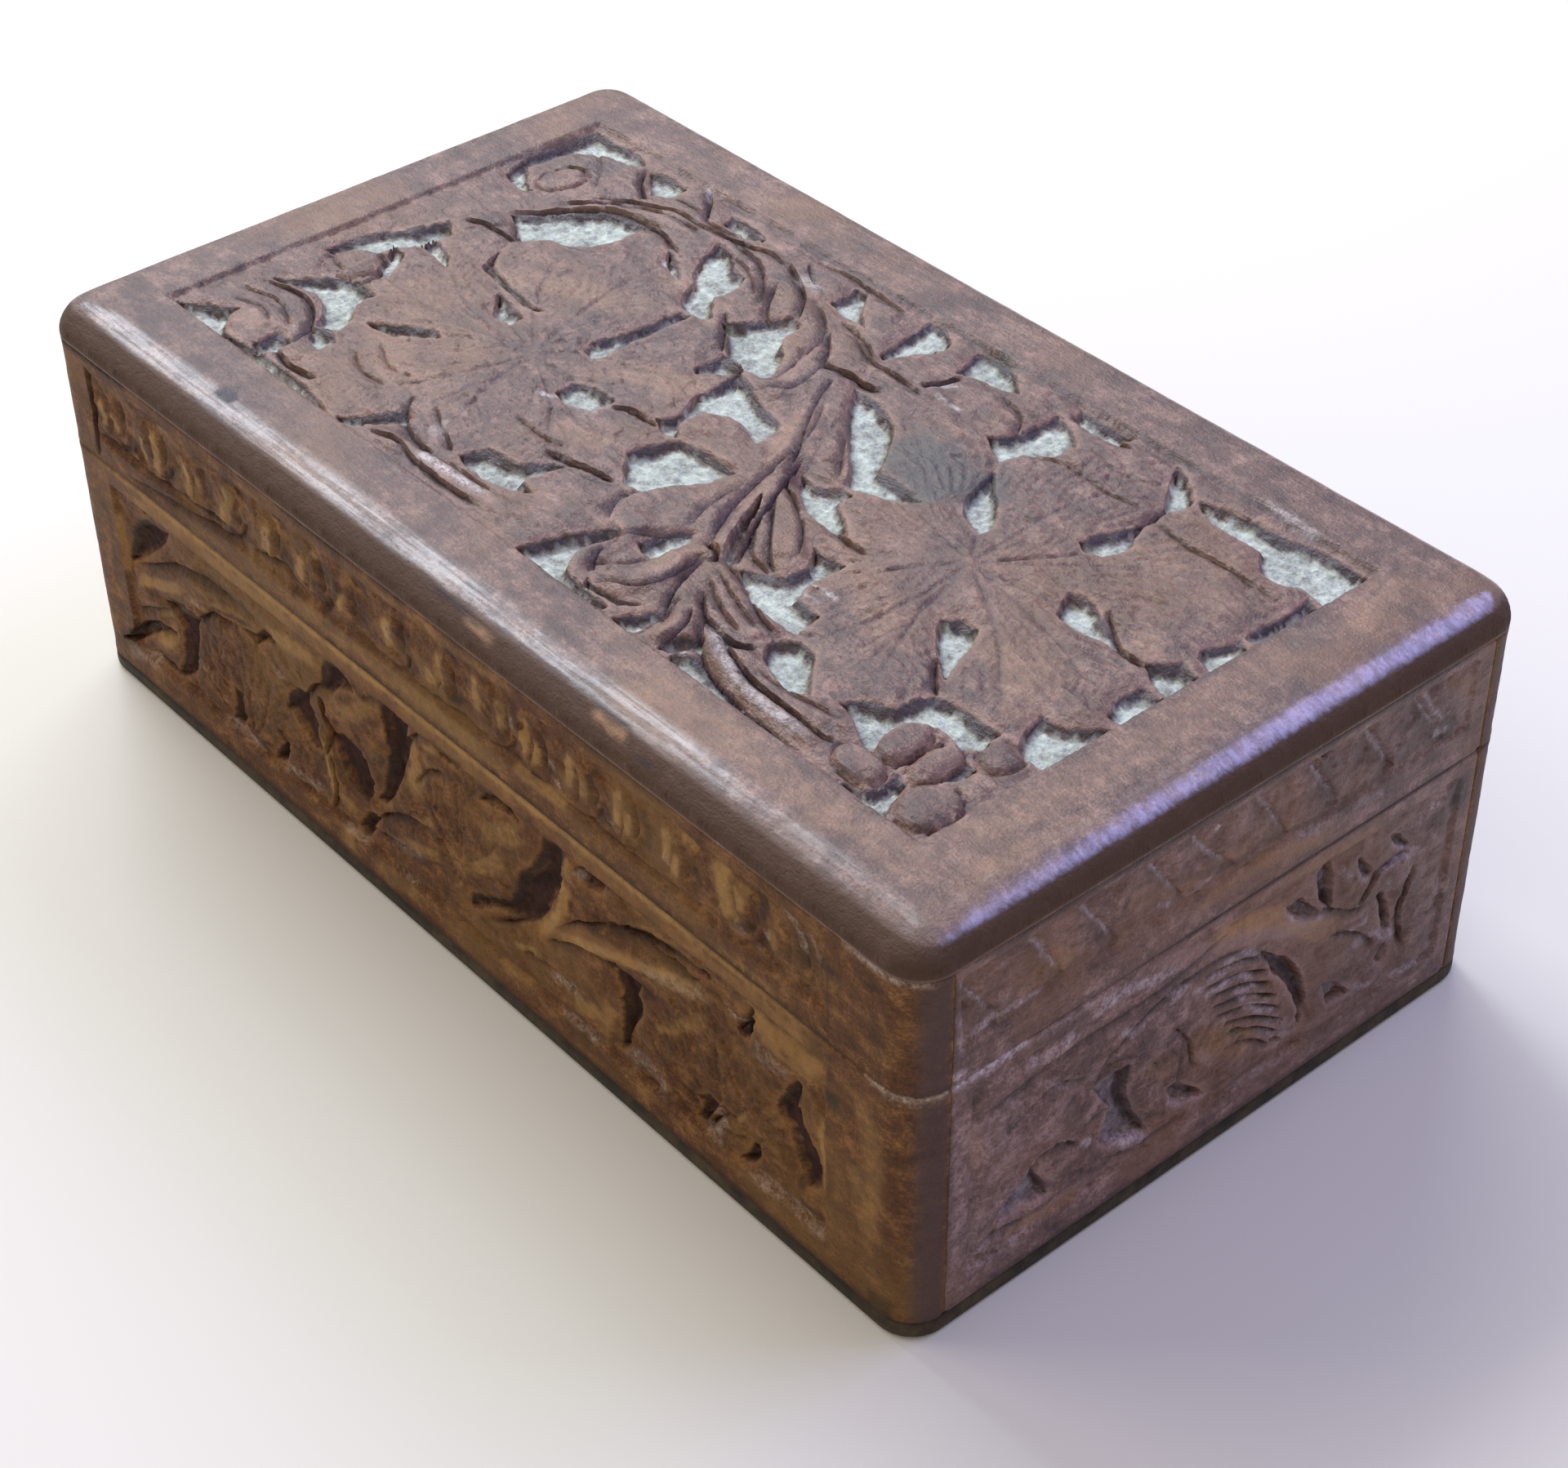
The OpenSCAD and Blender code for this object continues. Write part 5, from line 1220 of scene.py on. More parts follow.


# The front band's border lines, and its strokes of colour: golden painted highlights, painted shadows with
# the dark lines of the seam and the top board's joint, stains, and pale dust with painted highlights.
leafBandLines = [
    (0.5, 0.8, (-90.6, 46), (-90.3, 55), (-90.5, 63)),
    (0.7, 0.9, (-89, 50.8), (-76, 50.6), (-62, 51.8), (-52, 52.5)),
    (0.6, 1.2, (-80, 46.8), (-68, 48.8), (-56, 50.3), (-46, 52.3)),
    (0.7, 1.0, (-45, 52), (-36, 53.4), (-30, 51)),
    (0.45, 0.9, (-20, 51.3), (-4, 50.8), (20, 51.5), (44, 50.8), (61, 51.3)),
]
leafBandPaint = {
    "gold": [
        (1.1, 1.0, (-87.3, 58), (-86.8, 53.5)), (1.2, 0.8, (-84.8, 57), (-83.2, 53.5)),
        (1.2, 1.0, (-76, 57), (-75.3, 52.5)),
        (1.4, 1.0, (-72.5, 59.5), (-71.5, 55), (-73, 51.5)), (0.7, 0.7, (-70.5, 61.2), (-67, 61.6)),
        (1.0, 1.2, (-63, 58.5), (-62, 53)),
        (0.9, 0.7, (-60, 57.5), (-58.5, 54.5)), (1.8, 0.9, (-53.8, 52), (-51.5, 56.5), (-50, 60.5)),
        (0.8, 0.6, (-49, 56), (-47.5, 58)),
        (1.3, 1.3, (-41.5, 53), (-40.6, 58.5)), (0.8, 0.8, (-38.8, 60.5), (-38, 58.8)),
        (1.5, 0.8, (-32.3, 53.5), (-31, 58)),
        (0.8, 0.9, (-28.5, 60.5), (-27, 59.6)), (1.0, 1.2, (-22, 53.5), (-21, 57)),
        (0.9, 0.6, (-18, 61.5), (-19.5, 59)),
        (1.3, 1.3, (-10, 58.8), (-9.5, 53.5)), (1.4, 1.0, (0.3, 56), (1, 53)),
        (1.3, 0.9, (3, 60), (2.5, 54)), (1.3, 0.8, (11.5, 61), (12, 55)),
        (1.2, 0.8, (17, 60), (17.5, 55)), (1.2, 0.8, (22, 60), (23, 54)), (1.2, 0.9, (25, 58), (25, 53.5)),
        (1.3, 0.9, (33, 60), (32.5, 54.5)),
        (1.2, 0.7, (36, 58), (35.5, 54)), (1.2, 1.0, (43.5, 60.5), (42.8, 54)),
        (0.9, 0.8, (45.5, 58), (45, 54)), (1.3, 1.1, (53, 60), (53.5, 55)),
        (1.0, 0.9, (55.5, 57), (55, 53.5)), (0.8, 0.9, (56.5, 62), (60, 60.5)),
        (2.6, 0.9, (64.5, 62), (66, 55), (68.5, 53.5)),
        (1.5, 0.7, (69, 61), (68, 56)), (1.0, 0.6, (74, 57), (75.5, 54)),
        (1.6, 0.7, (19, 50), (26, 50), (32, 50.5)), (1.2, 0.5, (62, 47), (76, 46.6)),
        (2.2, 0.35, (-36, 48), (-10, 48.5), (16, 47.5)), (0.8, 0.3, (-20, 63), (20, 63.3)),
    ],
    "dark": [
        (0.7, 0.8, (-90.6, 60), (-90.2, 53), (-90.8, 46)),
        (0.8, 1.0, (-88.5, 51.8), (-84, 51), (-80.5, 51.7), (-78, 54.5)),
        (1.0, 1.0, (-70.5, 52), (-68, 53.8), (-66, 56)),
        (0.8, 0.9, (-75.5, 61.8), (-71, 62.6), (-67.5, 61.8)), (0.7, 0.7, (-66.5, 52), (-60, 51.8)),
        (1.4, 0.6, (-59, 60), (-56, 57.5), (-57.5, 55)),
        (1.4, 0.9, (-52, 61.5), (-49, 62), (-46, 60.5), (-44, 59)),
        (0.9, 1.0, (-60, 51.5), (-52, 51.8), (-46, 53), (-44, 53.5)),
        (1.0, 0.6, (-47, 54.5), (-44.5, 56.5)), (0.9, 1.0, (-39.5, 62), (-36.5, 61), (-34.5, 61.3)),
        (2.0, 0.9, (-37.5, 56), (-34.5, 53.5)), (0.8, 0.7, (-43, 52.8), (-38, 52.3)),
        (0.6, 0.9, (-34, 51.5), (-34.8, 49)),
        (1.3, 0.8, (-26.5, 58.5), (-23.5, 59.5), (-22.3, 57), (-24.5, 54)),
        (1.3, 0.8, (-18.5, 60.5), (-15.5, 61.5), (-14.5, 60)),
        (1.4, 0.6, (-19, 58.5), (-16.5, 57), (-16.5, 53.5)),
        (1.6, 0.6, (-7.5, 59), (-5.5, 56), (-4, 53), (-6, 51.5)),
        (0.8, 0.8, (4.5, 61.5), (7, 61), (7.5, 59.5)),
        (1.1, 1.0, (8.5, 55.5), (6.5, 53.5), (4.5, 52.8)), (0.8, 0.9, (-4, 54), (-2, 53.4)),
        (0.9, 0.8, (16, 54), (18, 53)), (0.8, 0.5, (20, 60.5), (21, 57)),
        (0.9, 0.6, (26.5, 61), (29.5, 59.5), (30, 56.5)), (0.7, 0.7, (27, 57), (28, 54)),
        (0.8, 0.5, (37.8, 59), (38.5, 61.5)),
        (1.1, 0.9, (39.5, 56.3), (41, 54.5), (39, 53)), (1.2, 0.6, (47.5, 59.5), (49.5, 57), (49, 53.5)),
        (1.0, 0.7, (58, 57), (60, 55.5), (58.5, 53.5)),
        (1.3, 1.0, (71, 61.5), (73, 60.5), (72, 57)), (1.0, 0.9, (70.5, 55.5), (69.5, 54), (66, 52.6)),
        (0.8, 0.6, (73, 54.5), (72, 52.5)),
        (0.7, 0.6, (80.5, 61), (82.5, 57)), (0.8, 1.0, (83.8, 57.8), (87.5, 58.2)),
        (0.6, 0.6, (85, 62), (85.3, 52), (85, 45.5)),
        (2.0, 0.5, (-78, 48.5), (-60, 49), (-50, 50.5)), (0.7, 1.2, (-102, 64.6), (-90, 64.6), (-77, 64.5)),
        (0.6, 0.8, (-36, 64.5), (-20, 64.5)),
        (0.7, 0.6, (36, 64.5), (54, 64.6)),
        (0.7, 1.3, (-106, 45.4), (-50, 45.35), (0, 45.4), (50, 45.4), (106, 45.4)),
        (0.8, 0.7, (90, 62), (94, 60)),
    ],
    "stain": [(5, 0.3, (78, 58), (84, 56)), (3, 0.4, (92, 56), (96, 50))],
    "pale": [(0.8, 0.9, (19, 58.5), (20, 57)), (0.8, 0.8, (27, 56), (29, 55)),
        (0.8, 0.9, (69, 53.5), (67.5, 53)), (0.6, 0.9, (29, 53.2), (30.5, 53)),
             (0.8, 0.8, (40.5, 54), (42, 53.5)), (1.0, 0.6, (74, 55), (73, 56)),
             (0.7, 0.9, (77, 62.5), (80, 60), (81, 57.5)), (0.6, 0.8, (53, 56), (54, 54)),
             (0.7, 0.7, (-40.7, 58), (-41.2, 54)), (0.8, 0.6, (-9.8, 58), (-9.4, 55)),
             (0.5, 1.0, (88, 64.6), (96, 64.6), (103, 64.5)), (0.6, 0.5, (82, 62), (84, 58))],
}


# A band of overlapping leaves along the lid: each a low swelling with a few gouge marks at its right.
def leafBand(middles, low, high, start, end, seed):
    cuts, buds, loops = [], [], []
    middle = (low + high) / 2
    for k, (x, wide, notch) in enumerate(middles):
        sway = math.sin(k * 2.3) * 0.6
        tilt = -16 + 12 * math.sin(k * 4.1)
        radii = (wide * (0.95 + 0.15 * math.sin(k * 1.7)), 4.4 + 0.5 * math.sin(k * 3.1))
        buds.append(((x - 0.1 * wide, middle + 0.1 + sway), radii, tilt, 0.34))
        foot = [(x + 0.45 * wide, low + 1.2), (x + 0.95 * wide, low + 1.6 + sway),
                (x + 1.25 * wide, middle - 0.8 + sway)]
        back = [(x + 0.75 * wide, high - 1.3), (x + 1.0 * wide, middle + 0.5), (x + 0.8 * wide, middle - 2)]
        rib = [(x - 0.1 * wide, high - 2), (x + 0.1 * wide, middle), (x - 0.1 * wide, low + 2)]
        cuts += [(0.28 + 0.16 * math.sin(k * 2.9), 2.0, *foot), (0.34, 2.0, *back), (0.25, 1.3, *rib)]
        if notch:
            loops.append([(x + 0.6 * wide, high - 0.2), (x + 1.2 * wide, high - 0.4),
                          (x + 1.7 * wide, high - 2.2 + sway), (x + 1.2 * wide, high - 1.9)])
    return {
        "field": (start, low - 0.4, end, high + 0.6), "depth": 0.9, "wall": 0.5, "shade": 0.8,
        "lean": (-0.5, 0.6),
        "sink": 0.5, "swell": 0.1, "cutScale": 1.2, "facet": 0.4, "ring": 0.0, "fine": 0.46, "coarse": 0.95,
        "seed": seed,
        "loops": smoothLoops(loops), "cuts": smoothCuts(cuts + leafBandLines), "leaves": [], "ridges": [],
        "buds": buds, "wornAndHighlight": [],
        **leafBandPaint,
    }


# A band of slanting leaf edges, as on the ends of the lid: shallow scallops, each with a pale line of
# painted highlight along its edge.
def slantBand(slants, low, high, start, end, seed):
    cuts, pale = [], []
    for x, lean in slants:
        path = [(x - 3.5, high + 0.8), (x - 1, high - 3), (x + lean * 0.55, low + 3.5),
            (x + lean, low + 0.3)]
        cuts.append((0.4, 4.5, *path))
        pale.append((0.5, 0.8, *((px - 0.4, pz) for px, pz in path[:3])))
    return {
        "field": (start, low - 0.4, end, high + 0.6), "depth": 1.3, "wall": 0.35, "shade": 0.5,
        "lean": (-0.5, 0.6),
        "sink": 0.45, "swell": 0.3, "cutScale": 1.1, "facet": 0.34, "ring": 0.5, "fine": 0.48,
        "coarse": 0.95, "seed": seed, "wornAndHighlight": [],
        "loops": [], "cuts": smoothCuts(cuts), "leaves": [], "ridges": [], "buds": [],
        # Golden painted highlights, then painted shadows with a broad darkening over one part and the dark
        # joint lines, then pale lines of painted highlight and dust.
        "gold": [(3, 0.45, (-36, 58), (-30, 54)), (2.5, 0.45, (42, 62), (48, 57)),
            (1.6, 0.5, (-8, 49), (6, 50), (20, 47)), (2, 0.3, (-20, 59), (-10, 55), (4, 55))],
        "dark": [(26.0, 0.3, (36, 47), (36, 63)), (0.9, 0.6, (-50.4, 47), (-50.4, 64)),
            (0.6, 0.9, (-45, 55.5), (-42.5, 54)), (0.6, 0.8, (-20.5, 59), (-20.8, 57)),
            (1.5, 0.5, (-44, 63), (-38, 63)),
                 (1.0, 0.5, (-12, 57), (-4, 54), (6, 52)), (0.8, 0.5, (2, 54), (16, 51.5), (30, 49)),
                 (0.6, 0.5, (-34, 45.4), (-20, 45.4)), (0.6, 0.9, (-20, 45.4), (0, 45.4), (50, 45.4)),
                 (0.7, 0.9, (-50, 64.6), (0, 64.6), (50, 64.6)), (1.0, 0.8, (51, 46), (53, 45.6))],
        "pale": pale + [(0.8, 0.8, (-48, 52.3), (-42, 52.6), (-35, 52.3)),
            (0.7, 1.2, (-51, 47.2), (-47, 46.2)), (1.3, 1.0, (39.5, 54), (42, 53)),
            (0.7, 1.2, (-4.5, 61.7), (-3.7, 61.3)),
                        (0.6, 0.7, (-15, 54.5), (-12, 53)), (0.6, 0.5, (-8, 52.5), (-3, 53.5)),
                        (1.0, 0.5, (12, 51), (17, 50)), (1.2, 0.4, (24, 50), (30, 48.5)),
                        (0.7, 0.9, (36, 63), (38, 59), (41, 55.5)), (0.6, 0.7, (-36, 61), (-35, 57)),
                        (0.8, 0.4, (-50, 58), (-49, 50))],
        "stain": [(2.2, 0.9, (40, 55), (44, 52))],
    }


def linear(red, green, blue):
    def channel(value):
        value /= 255
        return value / 12.92 if value <= 0.04045 else ((value + 0.055) / 1.055) ** 2.4
    return (channel(red), channel(green), channel(blue), 1)


# One output of a shader node, with arithmetic written as Python expressions.
class Signal:
    def __init__(self, shader, socket):
        self.shader = shader
        self.socket = socket

    def join(self, operation, first, second=0.0):
        node = self.shader.add("ShaderNodeMath", {"operation": operation}, {0: first, 1: second})
        return node.out(0)

    def __add__(self, other):
        return self.join("ADD", self, other)

    def __radd__(self, other):
        return self.join("ADD", other, self)

    def __sub__(self, other):
        return self.join("SUBTRACT", self, other)

    def __rsub__(self, other):
        return self.join("SUBTRACT", other, self)

    def __mul__(self, other):
        return self.join("MULTIPLY", self, other)

    def __rmul__(self, other):
        return self.join("MULTIPLY", other, self)


# A node whose outputs come out as signals.
class Made:
    def __init__(self, shader, node):
        self.shader = shader
        self.node = node

    def out(self, key):
        return Signal(self.shader, self.node.outputs[key])


class Shader:
    def __init__(self, name):
        self.material = bpy.data.materials.new(name)
        self.material.use_nodes = True
        self.tree = self.material.node_tree
        self.tree.nodes.clear()

    def add(self, kind, settings=None, values=None):
        node = self.tree.nodes.new(kind)
        for key, value in (settings or {}).items():
            if key == "stops":
                ramp = node.color_ramp
                while len(ramp.elements) < len(value):
                    ramp.elements.new(0.5)
                for element, (place, colour) in zip(ramp.elements, value):
                    element.position = place
                    element.color = colour
            else:
                setattr(node, key, value)
        for key, value in (values or {}).items():
            if isinstance(value, Signal):
                self.tree.links.new(value.socket, node.inputs[key])
            else:
                node.inputs[key].default_value = value
        return Made(self, node)

    def mask(self, name):
        return self.add("ShaderNodeAttribute", {"attribute_name": name}).out("Fac")

    def blend(self, share, first, second):
        settings = {"data_type": "RGBA", "blend_type": "MIX", "clamp_factor": True}
        node = self.add("ShaderNodeMix", settings, {0: share, 6: first, 7: second})
        return node.out(2)

    def noise(self, coordinates, scale, detail=3.0, roughness=0.5):
        return self.add("ShaderNodeTexNoise", {}, {
            "Vector": coordinates, "Scale": scale, "Detail": detail, "Roughness": roughness}).out("Fac")

    def spread(self, value, low, high):
        return self.add("ShaderNodeMapRange", {"clamp": True}, {
            "Value": value, "From Min": low, "From Max": high, "To Min": 0.0, "To Max": 1.0}).out("Result")

    def stretched(self, coordinates, scale):
        return self.add("ShaderNodeMapping", {}, {"Vector": coordinates, "Scale": scale}).out("Vector")

    def bumped(self, height, strength, distance):
        return self.add("ShaderNodeBump", {}, {
            "Strength": strength, "Distance": distance, "Height": height}).out("Normal")

    def finish(self, surface):
        end = self.add("ShaderNodeOutputMaterial")
        self.tree.links.new(surface.socket, end.node.inputs["Surface"])
        return self.material


# One wood in three looks, set apart by face partly as painted light: the front's deeper, more saturated
# golden brown stands in for a warm reflection from below, and the ends' mauve partly for a faint bluish
# sheen. In each look "shade" is the painted shade of walls, cuts and shadows, and "side" the colour of a
# face turned away from the top or round the corner, also painted light. The front's dark pocket floor is
# partly painted shade; the pale floors of the top and ends are dust.
woodLook = {
    "top": {"dark": linear(64, 46, 43), "mid": linear(102, 75, 66), "light": linear(152, 119, 103),
        "along": (0.3, 1, 1),
            "ground": linear(196, 204, 192), "groundDark": linear(100, 96, 92), "shade": linear(38, 29, 40),
            "stain": linear(62, 66, 64), "rough": 0.45, "shine": 0.5, "warm": linear(126, 92, 66),
            "side": linear(68, 43, 23), "coat": 0.85, "gold": linear(170, 132, 100),
            "dustAndHighlightTint": linear(196, 188, 184)},
    "front": {"dark": linear(56, 31, 15), "mid": linear(95, 58, 27), "light": linear(144, 100, 55),
        "along": (0.4, 1, 1),
              "ground": linear(66, 42, 34), "groundDark": linear(40, 21, 16), "shade": linear(36, 18, 12),
              "stain": linear(40, 36, 20), "rough": 0.55, "shine": 0.2, "warm": linear(120, 86, 42),
              "side": linear(80, 62, 62), "coat": 0.0, "gold": linear(168, 130, 74),
              "dustAndHighlightTint": linear(168, 146, 130)},
    "end": {"dark": linear(58, 39, 35), "mid": linear(114, 83, 75), "light": linear(168, 134, 127),
        "along": (1, 0.35, 1),
            "ground": linear(150, 136, 148), "groundDark": linear(70, 54, 54), "shade": linear(30, 18, 16),
            "stain": linear(42, 40, 36), "rough": 0.45, "shine": 0.45, "warm": linear(124, 84, 56),
            "side": linear(64, 46, 42), "coat": 0.0, "gold": linear(166, 122, 74),
            "dustAndHighlightTint": linear(192, 172, 182)},
}


# Scale, detail and roughness of each noise in the wood.
woodNoise = {
    "bands": (520, 4, 0.65), "pores": (2300, 3, 0.6), "clouds": (34, 3, 0.55), "mottle": (620, 5, 0.72),
    "grit": (2300, 3, 0.6), "blots": (210, 4, 0.6), "streaks": (1100, 3, 0.6),
}


def woodMaterial(name, look):
    shader = Shader(name)
    place = shader.add("ShaderNodeTexCoord").out("Object")
    fibre = shader.stretched(place, look["along"])
    bands, pores = (shader.noise(fibre, *woodNoise[key]) for key in ("bands", "pores"))
    clouds, mottle, grit, blots = (
        shader.noise(place, *woodNoise[key]) for key in ("clouds", "mottle", "grit", "blots"))
    tone = shader.spread(bands * 0.25 + blots * 0.3 + mottle * 0.25 + grit * 0.2, 0.39, 0.61)
    wood = shader.add("ShaderNodeValToRGB", {"stops": [
        (0.0, look["dark"]), (0.5, look["mid"]), (1.0, look["light"])]}, {"Fac": tone}).out("Color")
    wood = shader.blend(shader.spread(clouds, 0.48, 0.64) * 0.6, wood, look["warm"])
    wood = shader.blend(shader.spread(pores, 0.54, 0.68) * 0.5, wood, look["dark"])
    ground, wall, wear, rim, groove = (shader.mask(key) for key in ("ground", "wall", "wear", "rim",
        "groove"))
    pale, stain, side, turned, dark, gold, field = (
        shader.mask(key) for key in ("pale", "stain", "side", "turned", "dark", "gold", "field"))
    brush = shader.spread(mottle * 0.5 + blots * 0.5, 0.36, 0.56) * 0.5 + 0.5
    # Painted light: on the lid's top board the steep fall of the edge turns to the darker "side" colour, as
    # shade on a face turned from the top, and on the long boards the stretch turned round the corner takes
    # the cooler tone that the ends catch.
    wood = shader.blend(side * (brush * 0.4 + 0.58), wood, look["side"])
    wood = shader.blend(turned * (brush * 0.7 + 0.2), wood, look["side"])
    # Painted highlights: golden strokes where light catches raised leaves, stems and ledges, with a few
    # pale chips on the lid's edge among them.
    wood = shader.blend(gold * brush * 0.75, wood, look["gold"])
    # Wear with painted highlights: the rims of the pockets and the worn strokes turn towards the light
    # tone, partly rubbed wood and partly light catching raised edges.
    wood = shader.blend(wear * 0.5, wood, look["light"])
    wood = shader.blend(stain * 0.75, wood, look["stain"])
    # Painted shade: the cuts and veins, and every pocket wall, are darkened towards the shade colour.
    wood = shader.blend(groove * 0.8, wood, look["shade"])
    wood = shader.blend(wall * (brush * 0.6 + 0.3), wood, look["shade"])
    # Dust with painted highlights: pale specks where dust lies, and where light glints on glossy stems,
    # ledges and combed lines.
    speck = shader.spread(mottle * 0.6 + grit * 0.4, 0.4, 0.58)
    dustAndHighlightTint = shader.blend(speck, look["mid"], look["dustAndHighlightTint"])
    wood = shader.blend(pale * brush * 0.9, wood, dustAndHighlightTint)
    # Painted shadows and shade from the dark strokes, in slits, under leaf edges and along walls, with a
    # few real dark joint lines and dents among them.
    wood = shader.blend(dark * brush * 0.85, wood, look["shade"])
    # Pocket floors: pale dust on the top and ends; on the front the dark floor is partly painted shade in
    # the recesses, and the dark strokes add painted shadows.
    crumbs = shader.spread(mottle * 0.5 + grit * 0.2 + blots * 0.3, 0.36, 0.6)
    floor = shader.blend(crumbs, look["groundDark"], look["ground"])
    floor = shader.blend(dark * 0.8, floor, look["shade"])
    colour = shader.blend(ground, wood, floor)
    roughness = look["rough"] + (mottle - 0.5) * 0.3 + ground * 0.35 - pale * 0.1 + side * 0.35
    chips = shader.add("ShaderNodeTexVoronoi", {"feature": "F1"},
        {"Vector": fibre, "Scale": 900.0}).out("Distance")
    bump = bands * 0.35 + pores * 0.3 + mottle * 0.5 + grit * 0.3 + chips * field * 0.25
    normal = shader.bumped(bump, 0.9, 0.0006)
    streaks = shader.noise(shader.stretched(place, (0.05, 1, 1)), *woodNoise["streaks"])
    brushed = shader.spread(streaks * 0.7 + mottle * 0.3, 0.43, 0.57)
    sheen = brushed * (rim * -0.55 + 0.98) + rim * 0.5 + 0.06
    polish = rim * sheen * (1 - dark * 0.85) * look["coat"]
    surface = shader.add("ShaderNodeBsdfPrincipled", {}, {
        "Base Color": colour, "Roughness": roughness, "Normal": normal, "Coat Weight": polish,
        "Coat Roughness": 0.2, "Coat IOR": 1.8, "Specular IOR Level": look["shine"]}).out("BSDF")
    return shader.finish(surface)


woods = {key: woodMaterial("wood_" + key, look) for key, look in woodLook.items()}


def brassMaterial():
    shader = Shader("agedBrass")
    place = shader.add("ShaderNodeTexCoord").out("Object")
    stain = shader.spread(shader.noise(place, 300, 4, 0.6), 0.4, 0.65)
    colour = shader.blend(stain, linear(168, 134, 74), linear(104, 80, 48))
    roughness = 0.3 + stain * 0.3
    surface = shader.add("ShaderNodeBsdfPrincipled", {}, {
        "Base Color": colour, "Roughness": roughness, "Metallic": 1.0}).out("BSDF")
    return shader.finish(surface)


# A dark wood for the bottom board, made very dark partly as painted shade where it sits low against the
# floor.
def bottomMaterial():
    shader = Shader("darkBottom")
    place = shader.add("ShaderNodeTexCoord").out("Object")
    bands = shader.noise(shader.stretched(place, (0.14, 1, 1)), 500, 4, 0.65)
    mottle = shader.noise(place, 240, 4, 0.65)
    colour = shader.blend(shader.spread(mottle, 0.38, 0.62), linear(38, 33, 24), linear(72, 58, 38))
    colour = shader.blend(shader.spread(bands, 0.5, 0.66) * 0.6, colour, linear(34, 27, 20))
    normal = shader.bumped(bands + mottle * 0.5, 0.8, 0.0005)
    surface = shader.add("ShaderNodeBsdfPrincipled", {}, {
        "Base Color": colour, "Roughness": 0.5 + mottle * 0.2, "Normal": normal,
        "Specular IOR Level": 0.3}).out("BSDF")
    return shader.finish(surface)


brass = brassMaterial()
for name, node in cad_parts.items():
    if name.startswith("hinge"):
        node.data.materials.clear()
        node.data.materials.append(brass)
    if name == "bottom_board":
        node.data.materials.clear()
        node.data.materials.append(bottomMaterial())
print("materials done")

buildBoard("lidTopBoard", topFace(topCarving), woods["top"], "lid_top_board", "lid")

longEdges = {"wraps": True, "ends": 0.25, "low": 0.5, "high": 0.6}
shortEdges = {"wraps": False, "ends": 0.2, "low": 0.5, "high": 0.6}
outerY, innerY = size["width"] / 2, size["width"] / 2 - size["wall"]
outerX, innerX = size["length"] / 2, size["length"] / 2 - size["wall"]
flatX = size["length"] / 2 - size["corner"]
bandLeaves = [(-85, 4.0, 0), (-73, 4.4, 0), (-61, 3.6, 0), (-52, 3.8, 1), (-41, 3.2, 1), (-30, 4.4, 0),
    (-21, 3.0, 1), (-9, 3.2, 0),
                      (2.5, 4.0, 0), (14.5, 4.6, 0), (24, 3.4, 0), (34.5, 4.0, 0), (44, 3.2, 0),
                      (54, 3.8, 0), (67, 4.4, 0), (78, 3.4, 0)]
frontBand = leafBand(bandLeaves, railLow[2] + 5.2, railLow[2] + 16.2, -90.5, 84.5, 71)
endBand = slantBand([(-46, 4), (-34, 3), (-25, 4), (-13, 4), (-5, 6), (7, 3.5), (17, 3.5), (28, 3.5),
    (38, 4)],
                    railLow[2] + 6, railLow[2] + 17, -49, 47, 91)
leafBoxes = {
    body: [boxOf("hinge_" + side + "_" + body + "_leaf") for side in ("left", "right")] for body in ("base",
        "lid")
}
leafInner = leafBoxes["base"][0][0][1]
leafThick = 1.0
seats = {
    "base": [((low[0], leafInner, frontHigh[2] - leafThick), (high[0], outerY + 1, frontHigh[2] + 1))
             for low, high in leafBoxes["base"]],
    "lid": [((low[0], leafInner, railLow[2] - 1), (high[0], outerY + 1, railLow[2] + leafThick))
            for low, high in leafBoxes["lid"]],
}
for side in ("front", "back"):
    hinged = side == "back"
    buildBoard("base" + side.capitalize() + "Board",
               wallFace(frontCarving, flatX, side, frontLow[2], frontHigh[2], longEdges, outerY, innerY),
               woods["front"], "base_" + side + "_board", "base", seats["base"] if hinged else ())
    buildBoard("lid" + side.capitalize() + "Rail",
               wallFace(frontBand, flatX, side, railLow[2], railHigh[2], longEdges, outerY, innerY),
               woods["front"], "lid_" + side + "_rail", "lid", seats["lid"] if hinged else ())
for side in ("right", "left"):
    buildBoard("base" + side.capitalize() + "Board",
               wallFace(endCarving, innerY, side, frontLow[2], frontHigh[2], shortEdges, outerX, innerX),
               woods["end"], "base_" + side + "_board", "base")
    buildBoard("lid" + side.capitalize() + "Rail",
               wallFace(endBand, innerY, side, railLow[2], railHigh[2], shortEdges, outerX, innerX),
               woods["end"], "lid_" + side + "_rail", "lid")
print("boards done")

screwSize = {
    "head": 1.6, "shank": 0.7, "sunk": 1.0, "length": 6.0, "slot": 0.5, "slotDepth": 0.35,
    "sides": 30, "pitch": 16.0, "seed": 7,
}


